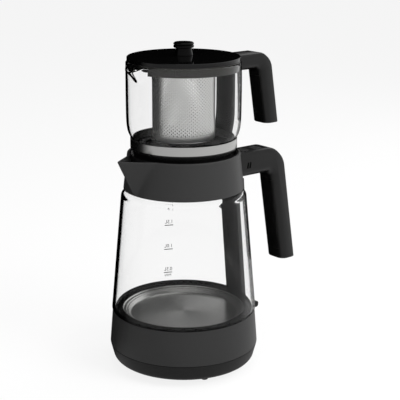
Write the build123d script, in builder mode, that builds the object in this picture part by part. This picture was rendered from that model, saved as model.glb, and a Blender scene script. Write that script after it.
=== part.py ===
"""Two-tier electric tea maker: a glass teapot that stands in the mouth of a cordless glass kettle.

Millimetres.  +Z is up, +X points from the vertical axis to the two handles and -X to the two
spouts.  The origin is on the vertical axis, on the surface that the tea maker stands on.
"""
from build123d import *
from math import cos, radians, sin, tan
import os

# ---------------------------------------------------------------------------------------------
# Driving dimensions
# ---------------------------------------------------------------------------------------------

# Clearances
lift_gap = 0.3            # between parts that lift or swing apart
snug_gap = 0.1            # between parts that are fixed together
shaft_gap = 0.05          # radial, round a shaft or a screw

# Power base
feet_height = 3.8
foot_radius = 3.8
foot_inset = 5.4          # foot centres inside the underside's edge
foot_half_angle = 39.9    # feet either side of the power base's axis
foot_flange = 0.8         # lip that holds a foot in from the inside
foot_flange_thickness = 1.0
foot_round = 0.8
power_base_turn = 33.4    # the power base stands turned under the kettle
power_base_height = 20.1  # underside to deck
power_base_radius = 78.2  # at the deck
power_base_bend_inset = 4.2
power_base_low_inset = 16.4  # flat underside
power_base_bend_height = 4.2  # above the underside
power_base_bend_round = 6.6
cover_inset = 0.8
shell_wall = 2.4
boss_radius = 24.0        # connector's housing, above the deck
boss_height = 5.0
connector_radius = 14.0
connector_rise = 8.0      # above the housing
connector_depth = 5.0     # below the shell
connector_round = 1.5
contact_slot_radius = 9.5
contact_slot_width = 2.4
contact_depth = 7.0
contact_pin_radius = 1.8
connector_flange = 4.0
connector_flange_thickness = 2.0
cord_radius = 3.25        # bore left for a mains cord
cord_outlet_drop = 8.2    # below the deck
gland_wall = 1.2
gland_flange = 0.9
gland_flange_thickness = 1.5
gland_proud = 1.4         # gland outside the shell

# Screws, one size throughout
screw_radius = 1.5
screw_head_radius = 3.0
screw_head_height = 1.8
screw_length = 9.0
screw_wall = 2.0          # round a screw's head
screw_sink = 1.0          # head below the face it is let into
screw_pillar_radius = 4.0
screw_well_height = 5.0
thin_head_height = 1.0    # heads let into the handles
base_screw_count = 3
power_base_screw_inset = 17.8   # inside the underside's edge
kettle_base_screw_inset = 12.3  # inside the kettle base's lower edge

# Kettle base
kettle_base_height = 36.7  # parting line to rim
kettle_base_step = 0.1     # kettle base outside the power base
kettle_base_taper = 3.0
floor_thickness = 2.2
screw_boss_height = 3.4    # above the floor
first_kettle_screw_angle = 60.0
socket_wall = 4.6
socket_flange = 3.4
socket_flange_thickness = 2.0
plate_ledge_drop = 1.6     # ledge that carries the heater plate, below the rim
plate_ledge_width = 2.0    # outside the heater plate's steps
plate_flange_margin = 2.0  # heater plate's edge inside the shell
plate_bedding = 0.5        # rubber under the plate
heater_plate_thickness = 0.9
heater_rim_inset = 8.3     # heater plate's steps inside the shell
heater_plate_depth = 5.2   # flat disc below the flange
heater_step = 1.1
heater_step_count = 5
heater_slope_run = 3.1     # from the last step to the flat disc
spreader_inset = 8.0       # aluminium disc inside the flat disc
spreader_thickness = 3.0
element_inset = 8.0        # tube's centre inside the aluminium disc
element_tube_radius = 3.3
element_arc = 300.0
element_pin_length = 5.0
thermostat_width = 30.0
thermostat_disc_radius = 6.0
thermostat_disc_height = 2.0
seal_thickness = 1.2
seal_lip_width = 2.6
seal_lip_height = 2.4

# Boil switch at the back of the kettle base
lever_length = 31.3
lever_width = 24.0
lever_thickness = 8.0
lever_neck_thickness = 4.5
lever_window_height = 11.0 # window in the shell, mostly below the lever's centre
port_height = 6.0          # wire port in the shell
lever_drop = 17.5          # lever centre below the rim
lever_overhang = 22.0      # tip outside the kettle base's rim
lever_tail = 6.0           # behind the pin
paddle_length = 17.4       # paddle outside the shell
paddle_round = 2.6
pin_radius = 1.5
pin_ear = 4.0              # half height of the ears that carry the pin
ear_thickness = 2.4
ear_gap = 0.4
switch_length = 13.0
switch_width = 20.0
plunger_radius = 1.8
plunger_length = 1.2
switch_gap = 0.4           # plunger to lever
switch_rise = 4.0          # switch above the lever's centre

# Kettle glass and collar
glass_wall = 3.0
glass_overhang = 0.7       # glass foot outside the base's rim
glass_taper = 11.0
glass_height = 121.6       # foot to the start of the shoulder
collar_height = 37.4
collar_inset = 2.7         # collar's lower edge inside the glass's shoulder
collar_taper = 4.3
shoulder_height = 8.4      # from the start of the shoulder to the collar's lower edge
collar_wall_low = 1.8
collar_wall_top = 2.4
neck_height = 11.0         # glass neck inside the collar
neck_drop = 0.6            # neck's start below the collar's edge
collar_rim_round = 1.6
collar_ledge_depth = 4.0   # ledge that the glass neck stops at
collar_ledge_thickness = 1.8
spout_overhang = 24.5      # tip outside the collar's rim
spout_rise = 1.2           # tip above the collar's rim
spout_half_angle = 20.0
spout_keel_setback = 0.8   # keel's foot outside the collar
spout_wall = 2.0
seat_inset = 6.4           # teapot's hollow inside the collar's rim
mouth_inset = 7.6
seat_depth = 5.2           # below the collar's rim
seat_wall = 1.8
seat_skirt_depth = 6.0
seat_lip_drop = 0.9        # below the collar's rim

# Duct up the back of the kettle
duct_width = 28.0
duct_depth = 8.0
duct_wall = 2.2
duct_round = 2.5
duct_channel_depth = 3.0
duct_channel_margin = 2.0  # at each side of the channel
loom_width = 9.0
loom_thickness = 1.4

# Kettle handle
arm_height = 28.0
arm_top_drop = 9.8         # arm's flat top below the collar's rim
handle_width = 27.0
grip_thickness = 20.0
grip_lean = 9.5            # degrees from upright
grip_overhang = 61.7       # grip centre outside the collar, at the arm's underside
grip_end_height = 88.0     # above the table
handle_outer_bend = 27.0
handle_inner_bend = 7.0
handle_edge_round = 5.0
handle_wall = 2.4
root_screw_spread = 7.0    # either side of the handle's plane
end_cap_thickness = 3.0
end_cap_plug = 4.0         # into the grip
end_round = 1.2
strip_end_margin = 12.0    # cover strip above the grip's end
strip_top_margin = 11.0    # cover strip below the arm
strip_side_margin = 5.0
strip_screw_margin = 7.0   # screw inside the strip's end
head_depth = 0.3           # screw heads below the strip's face
board_rise = 13.4          # circuit board above the arm's underside
board_thickness = 1.6
switch_body = 6.0
switch_height = 3.5
plunger_height = 1.0
key_plunger_radius = 1.7
panel_setback = 3.7        # panel's start outside the collar's lower edge
panel_end_inset = 15.0     # panel's end inside the grip's centre
panel_width = 19.0
panel_thickness = 1.6
panel_recess = 0.6
panel_round = 4.0
panel_ledge = 3.0          # under the panel's ends
panel_side_ledge = 2.0
button_length = 12.0
button_width = 12.0
button_insets = (14.0, 11.0)  # inner key from the panel's start, outer key from its end
button_travel = 0.8
button_proud = 0.5
button_round = 2.8
button_flange = 0.7
button_flange_thickness = 1.0
slit_inset = 13.0          # pair of slits from the panel's start
slit_pitch = 3.2
slit_width = 1.8
slit_height = 6.0
slit_slant = 1.2
slit_rise = 10.0           # above the arm's underside

# Teapot
teapot_seat_gap = 0.4      # teapot foot above the kettle's seat
teapot_foot_gap = 0.4      # round the foot, in the kettle's seat
teapot_foot_height = 11.6  # foot to band
band_height = 8.8
band_overhang = 3.4        # steel band outside the foot
band_thickness = 1.1
teapot_wall = 2.4
belly_overhang = 4.1       # glass outside the band
teapot_rim_inset = 0.4     # rim inside the belly
teapot_height = 97.6       # foot to glass rim
belly_drop = 32.0          # widest level below the rim
bulge_foot_inset = 1.6     # the side's two lower points, inside the belly and above the band
bulge_foot_rise = 6.6
bulge_side_inset = 0.4
bulge_side_rise = 20.0
teapot_bottom_rise = 7.6   # underside of the glass above the foot
lip_overhang = 15.2        # lip's tip outside the rim
lip_half_width = 11.5
lip_depth = 18.0
lip_dip = 4.5
teapot_strap_width = 28.0
teapot_strap_depth = 5.0
teapot_strap_round = 2.0
strap_foot_depth = 4.0     # strap outside the steel band
strap_foot_height = 14.0
teapot_ring_wall = 3.0     # foot ring inside the kettle's seat
ring_step = 1.2            # straight edge under the band
ring_cone_rise = 4.6       # straight foot, up to the cone
ring_chamfer = 0.6
teapot_bottom_bevel = 3.3
lip_wall = 1.8

# Teapot handle
teapot_arm_height = 17.5
teapot_arm_top_rise = 1.5  # above the glass rim
teapot_handle_width = 24.0
teapot_grip_thickness = 18.0
teapot_grip_overhang = 45.2  # grip centre outside the rim, at the arm's underside
teapot_grip_drop = 60.0    # arm's underside to the grip's end
teapot_outer_bend = 20.0
teapot_inner_bend = 5.0
teapot_edge_round = 4.2
teapot_strip_end_margin = 10.0
teapot_strip_top_margin = 8.0
teapot_screw_margin = 6.0

# Strainer
strainer_inset = 26.3      # basket inside the glass's rim
strainer_depth = 74.0      # below the ring's deck
strainer_wall = 0.6
ring_skirt_height = 8.6
ring_wall = 2.0
ring_flange = 0.9
ring_deck_drop = 4.0       # deck below the glass rim
ring_deck_thickness = 1.4
ring_socket_depth = 3.2    # collar round the basket
ring_skirt_gap = 0.5       # skirt inside the glass
spout_cut_width = 24.0     # skirt cut away at the lip
spout_cut_drop = 2.4       # below the glass rim
basket_flange = 2.6
basket_bevel = 1.2
skirt_slot_angle = 225.0
skirt_slot_width = 4.0
skirt_slot_height = 5.0
skirt_slot_depth = 0.9

# Lid
lid_inset = 0.9            # lid inside the glass's rim
lid_rim_height = 3.7
lid_bevel = 0.5
lid_skin = 2.4
knob_foot_radius = 9.2
knob_foot_height = 0.6
knob_stem_radius = 7.8
knob_stem_height = 7.8
knob_radius = 10.3
knob_height = 5.3
knob_groove = 0.7
knob_bevel = 1.0
lid_dome = 0.9             # middle of the lid above its edge
lid_guide_gap = 0.4        # guide ring inside the strainer ring
lid_guide_depth = 3.0      # below the lid's edge
lid_guide_step = 2.0       # width that the lid's edge rests on
lid_guide_wall = 3.6

# ---------------------------------------------------------------------------------------------
# Radii and reaches from the axis, each from the piece that it stands on or in
# ---------------------------------------------------------------------------------------------
power_base_bend_radius = power_base_radius - power_base_bend_inset
power_base_low_radius = power_base_radius - power_base_low_inset
foot_circle_radius = power_base_low_radius - foot_inset
power_base_screw_circle = power_base_low_radius - power_base_screw_inset
kettle_base_low_radius = power_base_radius + kettle_base_step
kettle_base_rim_radius = kettle_base_low_radius - kettle_base_taper
kettle_base_screw_circle = kettle_base_low_radius - kettle_base_screw_inset
rim_inner_radius = kettle_base_rim_radius - shell_wall
heater_rim_radius = rim_inner_radius - heater_rim_inset
heater_disc_radius = heater_rim_radius - heater_step_count * heater_step - heater_slope_run
spreader_radius = heater_disc_radius - spreader_inset
element_ring_radius = spreader_radius - element_inset
lever_reach = kettle_base_rim_radius + lever_overhang
glass_low_radius = kettle_base_rim_radius + glass_overhang
glass_high_radius = glass_low_radius - glass_taper
collar_low_radius = glass_high_radius - collar_inset
collar_top_radius = collar_low_radius - collar_taper
spout_reach = collar_top_radius + spout_overhang
seat_radius = collar_top_radius - seat_inset
mouth_radius = seat_radius - mouth_inset
grip_reach = collar_low_radius + grip_overhang
panel_start = collar_low_radius + panel_setback
panel_end = grip_reach - panel_end_inset
button_positions = (panel_start + button_insets[0], panel_end - button_insets[1])
slit_middle = panel_start + slit_inset
slit_positions = (slit_middle - slit_pitch / 2, slit_middle + slit_pitch / 2)
teapot_foot_radius = seat_radius - teapot_foot_gap
band_radius = teapot_foot_radius + band_overhang
teapot_belly_radius = band_radius + belly_overhang
teapot_rim_radius = teapot_belly_radius - teapot_rim_inset
lip_reach = teapot_rim_radius + lip_overhang
teapot_grip_reach = teapot_rim_radius + teapot_grip_overhang
strainer_radius = teapot_rim_radius - strainer_inset
lid_radius = teapot_rim_radius - lid_inset

# ---------------------------------------------------------------------------------------------
# Levels, each above the surface the tea maker stands on
# ---------------------------------------------------------------------------------------------
power_base_deck = feet_height + power_base_height
boss_top = power_base_deck + boss_height
connector_top = boss_top + connector_rise
parting = power_base_deck + lift_gap
kettle_rim = parting + kettle_base_height
glass_foot = kettle_rim + seal_thickness
shoulder = glass_foot + glass_height
collar_base = shoulder + shoulder_height
collar_top = collar_base + collar_height
seat_level = collar_top - seat_depth
arm_top = collar_top - arm_top_drop
arm_under = arm_top - arm_height
teapot_foot = seat_level + teapot_seat_gap
band_base = teapot_foot + teapot_foot_height
band_top = band_base + band_height
teapot_glass_base = teapot_foot + teapot_bottom_rise
teapot_rim = teapot_foot + teapot_height
ring_deck = teapot_rim - ring_deck_drop
lid_base = teapot_rim + ring_flange + snug_gap + lift_gap

parts = {}


def turned(*section, mode=Mode.ADD, arc=360):
    """Turn a closed section of (radius, height) points about the vertical axis."""
    with BuildSketch(Plane.XZ) as profile:
        with BuildLine():
            Polyline(*section, close=True)
        make_face()
    revolve(profile.sketch, axis=Axis.Z, revolution_arc=arc, mode=mode)


def ring(outer, inner, low, high, mode=Mode.ADD):
    """A plain ring between two radii and two heights."""
    turned((inner, low), (outer, low), (outer, high), (inner, high), mode=mode)


def upright(x, y, radius, low, high, mode=Mode.ADD):
    """An upright round bar or hole."""
    with BuildSketch(Plane.XY.offset(low)) as circle:
        with Locations((x, y)):
            Circle(radius)
    extrude(circle.sketch, amount=high - low, mode=mode)


def block(x_range, width, low, high, mode=Mode.ADD, round_off=0.0):
    """A block lying across the handle's plane, from x to x, with rounded upright corners."""
    length = x_range[1] - x_range[0]
    with BuildSketch(Plane.XY.offset(low)) as outline:
        with Locations(((x_range[0] + x_range[1]) / 2, 0)):
            if round_off > 0:
                RectangleRounded(length, width, round_off)
            else:
                Rectangle(length, width)
    extrude(outline.sketch, amount=high - low, mode=mode)


def side_plate(points, width, radii=0, mode=Mode.ADD):
    """A profile in the handle's plane, with each corner rounded, extruded to both sides."""
    with BuildSketch(Plane.XZ) as outline:
        with BuildLine():
            if radii:
                FilletPolyline(*points, radius=radii, close=True)
            else:
                Polyline(*points, close=True)
        make_face()
    extrude(outline.sketch, amount=width / 2, both=True, mode=mode)


def around(radius, count, start=0.0):
    """Points spaced evenly on a circle about the axis."""
    angles = [radians(start + 360.0 * index / count) for index in range(count)]
    return [(radius * cos(angle), radius * sin(angle)) for angle in angles]


def keep(builder, name):
    """Label a finished piece for its file."""
    builder.part.label = name
    parts[name] = builder.part


# ---------------------------------------------------------------------------------------------
# Power base: a shallow shell, closed from below, on four rubber feet
# ---------------------------------------------------------------------------------------------
power_base_bend = feet_height + power_base_bend_height
side_slope = power_base_bend_inset / (power_base_deck - power_base_bend)
cover_thickness = shell_wall
cover_radius = power_base_low_radius - cover_inset
cover_top = feet_height + cover_thickness
base_screw_points = around(power_base_screw_circle, base_screw_count, power_base_turn)
well_radius = screw_head_radius + screw_wall
well_top = feet_height + screw_well_height
gland_radius = cord_radius + gland_wall
gland_flange_radius = gland_radius + gland_flange


def inner_side(height):
    """Radius of the power base's inner wall, which slopes as its outer wall does."""
    return power_base_radius - shell_wall - side_slope * (power_base_deck - height)


# The mains cord leaves square to the sloping side, through the middle of its inner wall.
outlet_height = power_base_deck - cord_outlet_drop
outlet_radius = inner_side(outlet_height)
outlet_side = (cos(radians(power_base_turn)), sin(radians(power_base_turn)))
outlet_plane = Plane(
    origin=(outlet_radius * outlet_side[0], outlet_radius * outlet_side[1], outlet_height),
    x_dir=(-outlet_side[1], outlet_side[0], 0),
    z_dir=(outlet_side[0], outlet_side[1], -side_slope),
)
gland_seat = outlet_radius - (outlet_radius**2 - gland_flange_radius**2) ** 0.5 + snug_gap

with BuildPart() as power_base_shell:
    with BuildSketch(Plane.XZ):
        with BuildLine():
            FilletPolyline(
                (power_base_low_radius, feet_height),
                (power_base_bend_radius, power_base_bend),
                (power_base_radius, power_base_deck),
                radius=power_base_bend_round,
            )
            Polyline((power_base_low_radius, feet_height), (0, feet_height), (0, power_base_deck),
                     (power_base_radius, power_base_deck))
        make_face()
    revolve(axis=Axis.Z)
    turned(
        (0, feet_height),
        (cover_radius + snug_gap, feet_height),
        (cover_radius + snug_gap, cover_top),
        (inner_side(power_base_bend + shell_wall), power_base_bend + shell_wall),
        (inner_side(power_base_deck - shell_wall), power_base_deck - shell_wall),
        (0, power_base_deck - shell_wall),
        mode=Mode.SUBTRACT,
    )
    upright(0, 0, boss_radius + shaft_gap, power_base_deck - shell_wall, power_base_deck, Mode.SUBTRACT)
    for x, y in base_screw_points:
        upright(x, y, screw_pillar_radius, well_top, power_base_deck - shell_wall / 2)
        upright(x, y, screw_radius + shaft_gap, well_top, power_base_deck - shell_wall, Mode.SUBTRACT)
    with BuildSketch(outlet_plane) as outlet_hole:
        Circle(gland_radius + shaft_gap)
    extrude(outlet_hole.sketch, amount=2 * shell_wall, both=True, mode=Mode.SUBTRACT)
keep(power_base_shell, "power_base_shell")

foot_points = around(foot_circle_radius, 2, power_base_turn - foot_half_angle) + around(
    foot_circle_radius, 2, power_base_turn + foot_half_angle
)
with BuildPart() as power_base_cover:
    upright(0, 0, cover_radius, feet_height, cover_top)
    for x, y in base_screw_points:
        upright(x, y, well_radius, cover_top, well_top)
        upright(x, y, screw_head_radius + snug_gap, feet_height, well_top - shell_wall, Mode.SUBTRACT)
        upright(x, y, screw_radius + shaft_gap, feet_height, well_top, Mode.SUBTRACT)
    for x, y in foot_points:
        upright(x, y, foot_radius + shaft_gap, feet_height, cover_top, Mode.SUBTRACT)
keep(power_base_cover, "power_base_cover")

with BuildPart() as base_feet:
    for x, y in foot_points:
        upright(x, y, foot_radius, 0, cover_top + shaft_gap)
    fillet(base_feet.faces().sort_by(Axis.Z)[:4].edges(), foot_round)
    for x, y in foot_points:
        upright(x, y, foot_radius + foot_flange, cover_top + shaft_gap,
                cover_top + shaft_gap + foot_flange_thickness)
keep(base_feet, "base_feet")

with BuildPart() as power_base_screws:
    for x, y in base_screw_points:
        upright(x, y, screw_head_radius, well_top - shell_wall - screw_head_height, well_top - shell_wall)
        upright(x, y, screw_radius, well_top - shell_wall, well_top - shell_wall + screw_length)
keep(power_base_screws, "power_base_screws")

# The connector stands on a round housing of its own, held by a flange under the deck.
connector_low = power_base_deck - shell_wall - connector_depth
connector_flange_top = power_base_deck - shell_wall - snug_gap
connector_flange_low = connector_flange_top - connector_flange_thickness
with BuildPart() as base_connector:
    upright(0, 0, connector_radius, connector_low, connector_top)
    fillet(base_connector.faces().sort_by(Axis.Z)[-1].edges(), connector_round)
    turned(
        (0, boss_top - shell_wall),
        (boss_radius - shell_wall, boss_top - shell_wall),
        (boss_radius - shell_wall, connector_flange_low),
        (boss_radius + connector_flange, connector_flange_low),
        (boss_radius + connector_flange, connector_flange_top),
        (boss_radius, connector_flange_top),
        (boss_radius, boss_top),
        (0, boss_top),
    )
    ring(
        contact_slot_radius + contact_slot_width / 2,
        contact_slot_radius - contact_slot_width / 2,
        connector_top - contact_depth,
        connector_top,
        Mode.SUBTRACT,
    )
    upright(0, 0, contact_pin_radius + lift_gap, connector_top - contact_depth, connector_top, Mode.SUBTRACT)
keep(base_connector, "base_connector")

with BuildPart() as cord_gland:
    with BuildSketch(outlet_plane.offset(-gland_seat)):
        Circle(gland_flange_radius)
    extrude(amount=-gland_flange_thickness)
    with BuildSketch(outlet_plane.offset(-gland_seat)):
        Circle(gland_radius)
    extrude(amount=gland_seat + shell_wall + gland_proud)
    with BuildSketch(outlet_plane):
        Circle(cord_radius)
    extrude(amount=2 * shell_wall, both=True, mode=Mode.SUBTRACT)
keep(cord_gland, "cord_gland")

# ---------------------------------------------------------------------------------------------
# Kettle base: shell, floor, socket, heater and boil switch
# ---------------------------------------------------------------------------------------------
floor_low = parting + lift_gap
floor_top = floor_low + floor_thickness
crown_low = boss_top + lift_gap
crown_top = crown_low + floor_thickness
crown_radius = boss_radius + lift_gap
socket_bore = connector_radius + lift_gap
socket_radius = socket_bore + socket_wall
socket_ceiling = connector_top + lift_gap
socket_top = socket_ceiling + shell_wall
ledge_top = kettle_rim - plate_ledge_drop
ledge_low = ledge_top - shell_wall
ledge_radius = heater_rim_radius + plate_ledge_width
kettle_screw_points = around(kettle_base_screw_circle, base_screw_count, first_kettle_screw_angle)
screw_boss_top = floor_top + screw_boss_height
screw_seat = floor_low + screw_head_height + screw_sink
lever_height = kettle_rim - lever_drop
lever_pivot = lever_reach - lever_length + pin_ear
lever_end = lever_pivot - lever_tail
window_margin = 1.0
window_top = lever_height + lever_neck_thickness / 2 + 2.75 * window_margin
port_width = duct_width - 2 * duct_wall - 2.0
plate_edge = rim_inner_radius - plate_flange_margin


def shell_outer(height):
    """Outer radius of the kettle base at a height."""
    share = (height - parting) / kettle_base_height
    return kettle_base_low_radius + share * (kettle_base_rim_radius - kettle_base_low_radius)


with BuildPart() as kettle_base_shell:
    turned(
        (kettle_base_low_radius, parting),
        (kettle_base_rim_radius, kettle_rim),
        (rim_inner_radius, kettle_rim),
        (rim_inner_radius, ledge_top),
        (ledge_radius, ledge_top),
        (ledge_radius, ledge_low),
        (rim_inner_radius, ledge_low),
        (kettle_base_low_radius - shell_wall, parting),
    )
    fillet(kettle_base_shell.edges().group_by(Axis.Z)[-1].sort_by(SortBy.LENGTH)[-1], 0.6)
    for x, y in kettle_screw_points:
        upright(x, y, screw_pillar_radius, screw_boss_top, ledge_top - shell_wall / 2)
        upright(x, y, screw_radius + shaft_gap, screw_boss_top, screw_boss_top + screw_length,
                Mode.SUBTRACT)
    block((ledge_radius, lever_reach), lever_width + 2 * window_margin, window_top - lever_window_height,
          window_top, Mode.SUBTRACT)
    block((ledge_radius, lever_reach), port_width, ledge_low - port_height, ledge_low, Mode.SUBTRACT)
    ear_root = shell_outer(lever_height) - 1.3 * shell_wall
    for side_sign in (-1, 1):
        ear_middle = -side_sign * (lever_width / 2 + ear_gap + ear_thickness / 2)
        with BuildSketch(Plane.XZ.offset(ear_middle)) as ear:
            with BuildLine():
                Polyline(
                    (lever_pivot - pin_ear, lever_height - pin_ear),
                    (ear_root, lever_height - pin_ear),
                    (ear_root, lever_height + pin_ear),
                    (lever_pivot - pin_ear, lever_height + pin_ear),
                    close=True,
                )
            make_face()
            with Locations((lever_pivot, lever_height)):
                Circle(pin_radius + snug_gap, mode=Mode.SUBTRACT)
        extrude(ear.sketch, amount=ear_thickness / 2, both=True)
keep(kettle_base_shell, "kettle_base_shell")

with BuildPart() as kettle_base_floor:
    floor_radius = shell_outer(floor_top) - shell_wall - 2 * snug_gap
    turned(
        (crown_radius, floor_low),
        (floor_radius, floor_low),
        (floor_radius, floor_top),
        (crown_radius + floor_thickness, floor_top),
        (crown_radius + floor_thickness, crown_top),
        (socket_radius + snug_gap, crown_top),
        (socket_radius + snug_gap, crown_low),
        (crown_radius, crown_low),
    )
    for x, y in kettle_screw_points:
        upright(x, y, well_radius, floor_top, screw_boss_top)
        upright(x, y, screw_head_radius + snug_gap, floor_low, screw_seat, Mode.SUBTRACT)
        upright(x, y, screw_radius + shaft_gap, floor_low, screw_boss_top, Mode.SUBTRACT)
keep(kettle_base_floor, "kettle_base_floor")

with BuildPart() as base_screws:
    for x, y in kettle_screw_points:
        upright(x, y, screw_head_radius, screw_seat - screw_head_height, screw_seat)
        upright(x, y, screw_radius, screw_seat, screw_seat + screw_length)
keep(base_screws, "base_screws")

with BuildPart() as connector_socket:
    upright(0, 0, socket_radius, crown_low, socket_top)
    upright(0, 0, socket_radius + socket_flange, crown_top, crown_top + socket_flange_thickness)
    upright(0, 0, socket_bore, crown_low, socket_ceiling, Mode.SUBTRACT)
    upright(0, 0, contact_pin_radius, connector_top - contact_depth + 1.0, socket_ceiling)
    ring(
        contact_slot_radius + contact_slot_width / 2 - lift_gap,
        contact_slot_radius - contact_slot_width / 2 + lift_gap,
        connector_top - contact_depth + 1.0,
        socket_ceiling,
    )
keep(connector_socket, "connector_socket")

plate_top = ledge_top + plate_bedding + heater_plate_thickness
disc_top = plate_top - heater_plate_depth
disc_low = disc_top - heater_plate_thickness
with BuildPart() as heater_plate:
    with BuildSketch(Plane.XZ):
        with BuildLine():
            Polyline(
                (plate_edge, plate_top),
                (heater_rim_radius, plate_top),
                (heater_rim_radius - heater_step, plate_top - heater_step),
                (heater_rim_radius - 3 * heater_step, plate_top - heater_step),
                (heater_rim_radius - 4 * heater_step, plate_top - 2 * heater_step),
                (heater_rim_radius - heater_step_count * heater_step, plate_top - 2 * heater_step),
                (heater_disc_radius, disc_top),
                (0, disc_top),
            )
            offset(amount=heater_plate_thickness, side=Side.LEFT)
        make_face()
    revolve(axis=Axis.Z)
keep(heater_plate, "heater_plate")

with BuildPart() as heat_spreader:
    upright(0, 0, spreader_radius, disc_low - spreader_thickness, disc_low)
    chamfer(heat_spreader.faces().sort_by(Axis.Z)[0].edges(), 0.8)
keep(heat_spreader, "heat_spreader")

element_centre = disc_low - spreader_thickness - element_tube_radius - snug_gap / 2
element_start = (360.0 - element_arc) / 2
with BuildPart() as heater_element:
    with BuildSketch(Plane.XZ) as tube:
        with Locations((element_ring_radius, element_centre)):
            Circle(element_tube_radius)
    revolve(tube.sketch, axis=Axis.Z, revolution_arc=element_arc)
    for angle in (0.0, element_arc):
        x = element_ring_radius * cos(radians(angle))
        y = element_ring_radius * sin(radians(angle))
        upright(x, y, pin_radius, element_centre - element_tube_radius - element_pin_length, element_centre)
parts["heater_element"] = heater_element.part.rotate(Axis.Z, element_start)
parts["heater_element"].label = "heater_element"

with BuildPart() as thermostat:
    thermostat_top = disc_low - spreader_thickness - snug_gap
    body_top = thermostat_top - thermostat_disc_height
    block((-socket_radius, socket_radius), thermostat_width, socket_top, body_top, round_off=3.0)
    for x in (-socket_radius / 2, socket_radius / 2):
        upright(x, 0, thermostat_disc_radius, body_top, thermostat_top)
keep(thermostat, "thermostat")

glass_bore = glass_low_radius - glass_wall
with BuildPart() as lower_seal:
    turned(
        (ledge_radius, ledge_top),
        (rim_inner_radius - snug_gap, ledge_top),
        (rim_inner_radius - snug_gap, kettle_rim + shaft_gap),
        (kettle_base_rim_radius, kettle_rim + shaft_gap),
        (kettle_base_rim_radius, glass_foot),
        (glass_bore - snug_gap, glass_foot),
        (glass_bore - seal_lip_width / 4, glass_foot + seal_lip_height),
        (glass_bore - seal_lip_width, glass_foot),
        (heater_rim_radius, glass_foot),
        (heater_rim_radius, plate_top + shaft_gap),
        (plate_edge + snug_gap, plate_top + shaft_gap),
        (plate_edge + snug_gap, plate_top - heater_plate_thickness - shaft_gap),
        (ledge_radius, plate_top - heater_plate_thickness - shaft_gap),
    )
keep(lower_seal, "lower_seal")

with BuildPart() as switch_lever:
    paddle_start = lever_reach - paddle_length
    tip_taper = 0.8
    side_plate(
        (
            (lever_end, lever_height - lever_neck_thickness / 2),
            (paddle_start, lever_height - lever_neck_thickness / 2),
            (paddle_start, lever_height - lever_thickness / 2),
            (lever_reach, lever_height - lever_thickness / 2 + tip_taper),
            (lever_reach, lever_height + lever_thickness / 2 - tip_taper),
            (paddle_start, lever_height + lever_thickness / 2),
            (paddle_start, lever_height + lever_neck_thickness / 2),
            (lever_end, lever_height + lever_neck_thickness / 2),
        ),
        lever_width,
    )
    tip_edges = switch_lever.edges().group_by(Axis.X)[-1]
    fillet(tip_edges.filter_by(Axis.Y), paddle_round)
    with BuildSketch(Plane.XZ) as pin_hole:
        with Locations((lever_pivot, lever_height)):
            Circle(pin_radius + shaft_gap)
    extrude(pin_hole.sketch, amount=lever_width, both=True, mode=Mode.SUBTRACT)
keep(switch_lever, "switch_lever")

with BuildPart() as lever_pin:
    with BuildSketch(Plane.XZ):
        with Locations((lever_pivot, lever_height)):
            Circle(pin_radius)
    extrude(amount=lever_width / 2 + ear_gap + ear_thickness + 0.6, both=True)
keep(lever_pin, "lever_pin")

switch_end = lever_end - plunger_length - switch_gap
switch_top = lever_height + switch_rise
with BuildPart() as switch_block:
    block((switch_end - switch_length, switch_end), switch_width, floor_top, switch_top, round_off=1.5)
    with BuildSketch(Plane.YZ.offset(switch_end)) as plunger:
        with Locations((0, lever_height)):
            Circle(plunger_radius)
    extrude(plunger.sketch, amount=plunger_length)
keep(switch_block, "switch_block")

# ---------------------------------------------------------------------------------------------
# Kettle glass, upper seal, collar with its spout, and the teapot's seat
# ---------------------------------------------------------------------------------------------
neck_top = collar_base + neck_height
upper_ledge_low = neck_top + seal_thickness + 2 * snug_gap
root_screw_height = upper_ledge_low + collar_ledge_thickness + screw_head_radius + 2 * lift_gap
root_screw_points = [(-root_screw_spread, root_screw_height), (root_screw_spread, root_screw_height)]


def glass_side(height):
    """Outer radius of the kettle glass's straight side, carried on past its ends."""
    return glass_low_radius + (height - glass_foot) * (glass_high_radius - glass_low_radius) / glass_height


def collar_outer(height):
    """Outer radius of the collar at a height."""
    share = (height - collar_base) / collar_height
    return collar_low_radius + share * (collar_top_radius - collar_low_radius)


def collar_inner(height):
    """Inner radius of the collar at a height."""
    share = (height - collar_base) / collar_height
    return collar_outer(height) - collar_wall_low - share * (collar_wall_top - collar_wall_low)


def glass_neck(height):
    """Outer radius of the glass neck, inside the collar."""
    return collar_inner(height) - 2 * snug_gap


with BuildPart() as kettle_glass:
    with BuildSketch(Plane.XZ):
        with BuildLine():
            neck_base = collar_base - neck_drop
            neck_slope = (glass_neck(neck_top) - glass_neck(neck_base), neck_top - neck_base)
            side = Line((glass_low_radius, glass_foot), (glass_high_radius, shoulder))
            Spline(side @ 1, (glass_neck(neck_base), neck_base), tangents=(side % 1, neck_slope))
            Line((glass_neck(neck_base), neck_base), (glass_neck(neck_top), neck_top))
            Line((glass_neck(neck_top), neck_top), (glass_neck(neck_top) - glass_wall, neck_top))
            Line((glass_neck(neck_top) - glass_wall, neck_top),
                 (glass_neck(neck_base) - glass_wall, neck_base))
            inner_side = Line((glass_high_radius - glass_wall, shoulder),
                              (glass_low_radius - glass_wall, glass_foot))
            Spline(
                (glass_neck(neck_base) - glass_wall, neck_base),
                inner_side @ 0,
                tangents=((-neck_slope[0], -neck_slope[1]), inner_side % 0),
            )
            Line(inner_side @ 1, side @ 0)
        make_face()
    revolve(axis=Axis.Z)
keep(kettle_glass, "kettle_glass")

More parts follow.
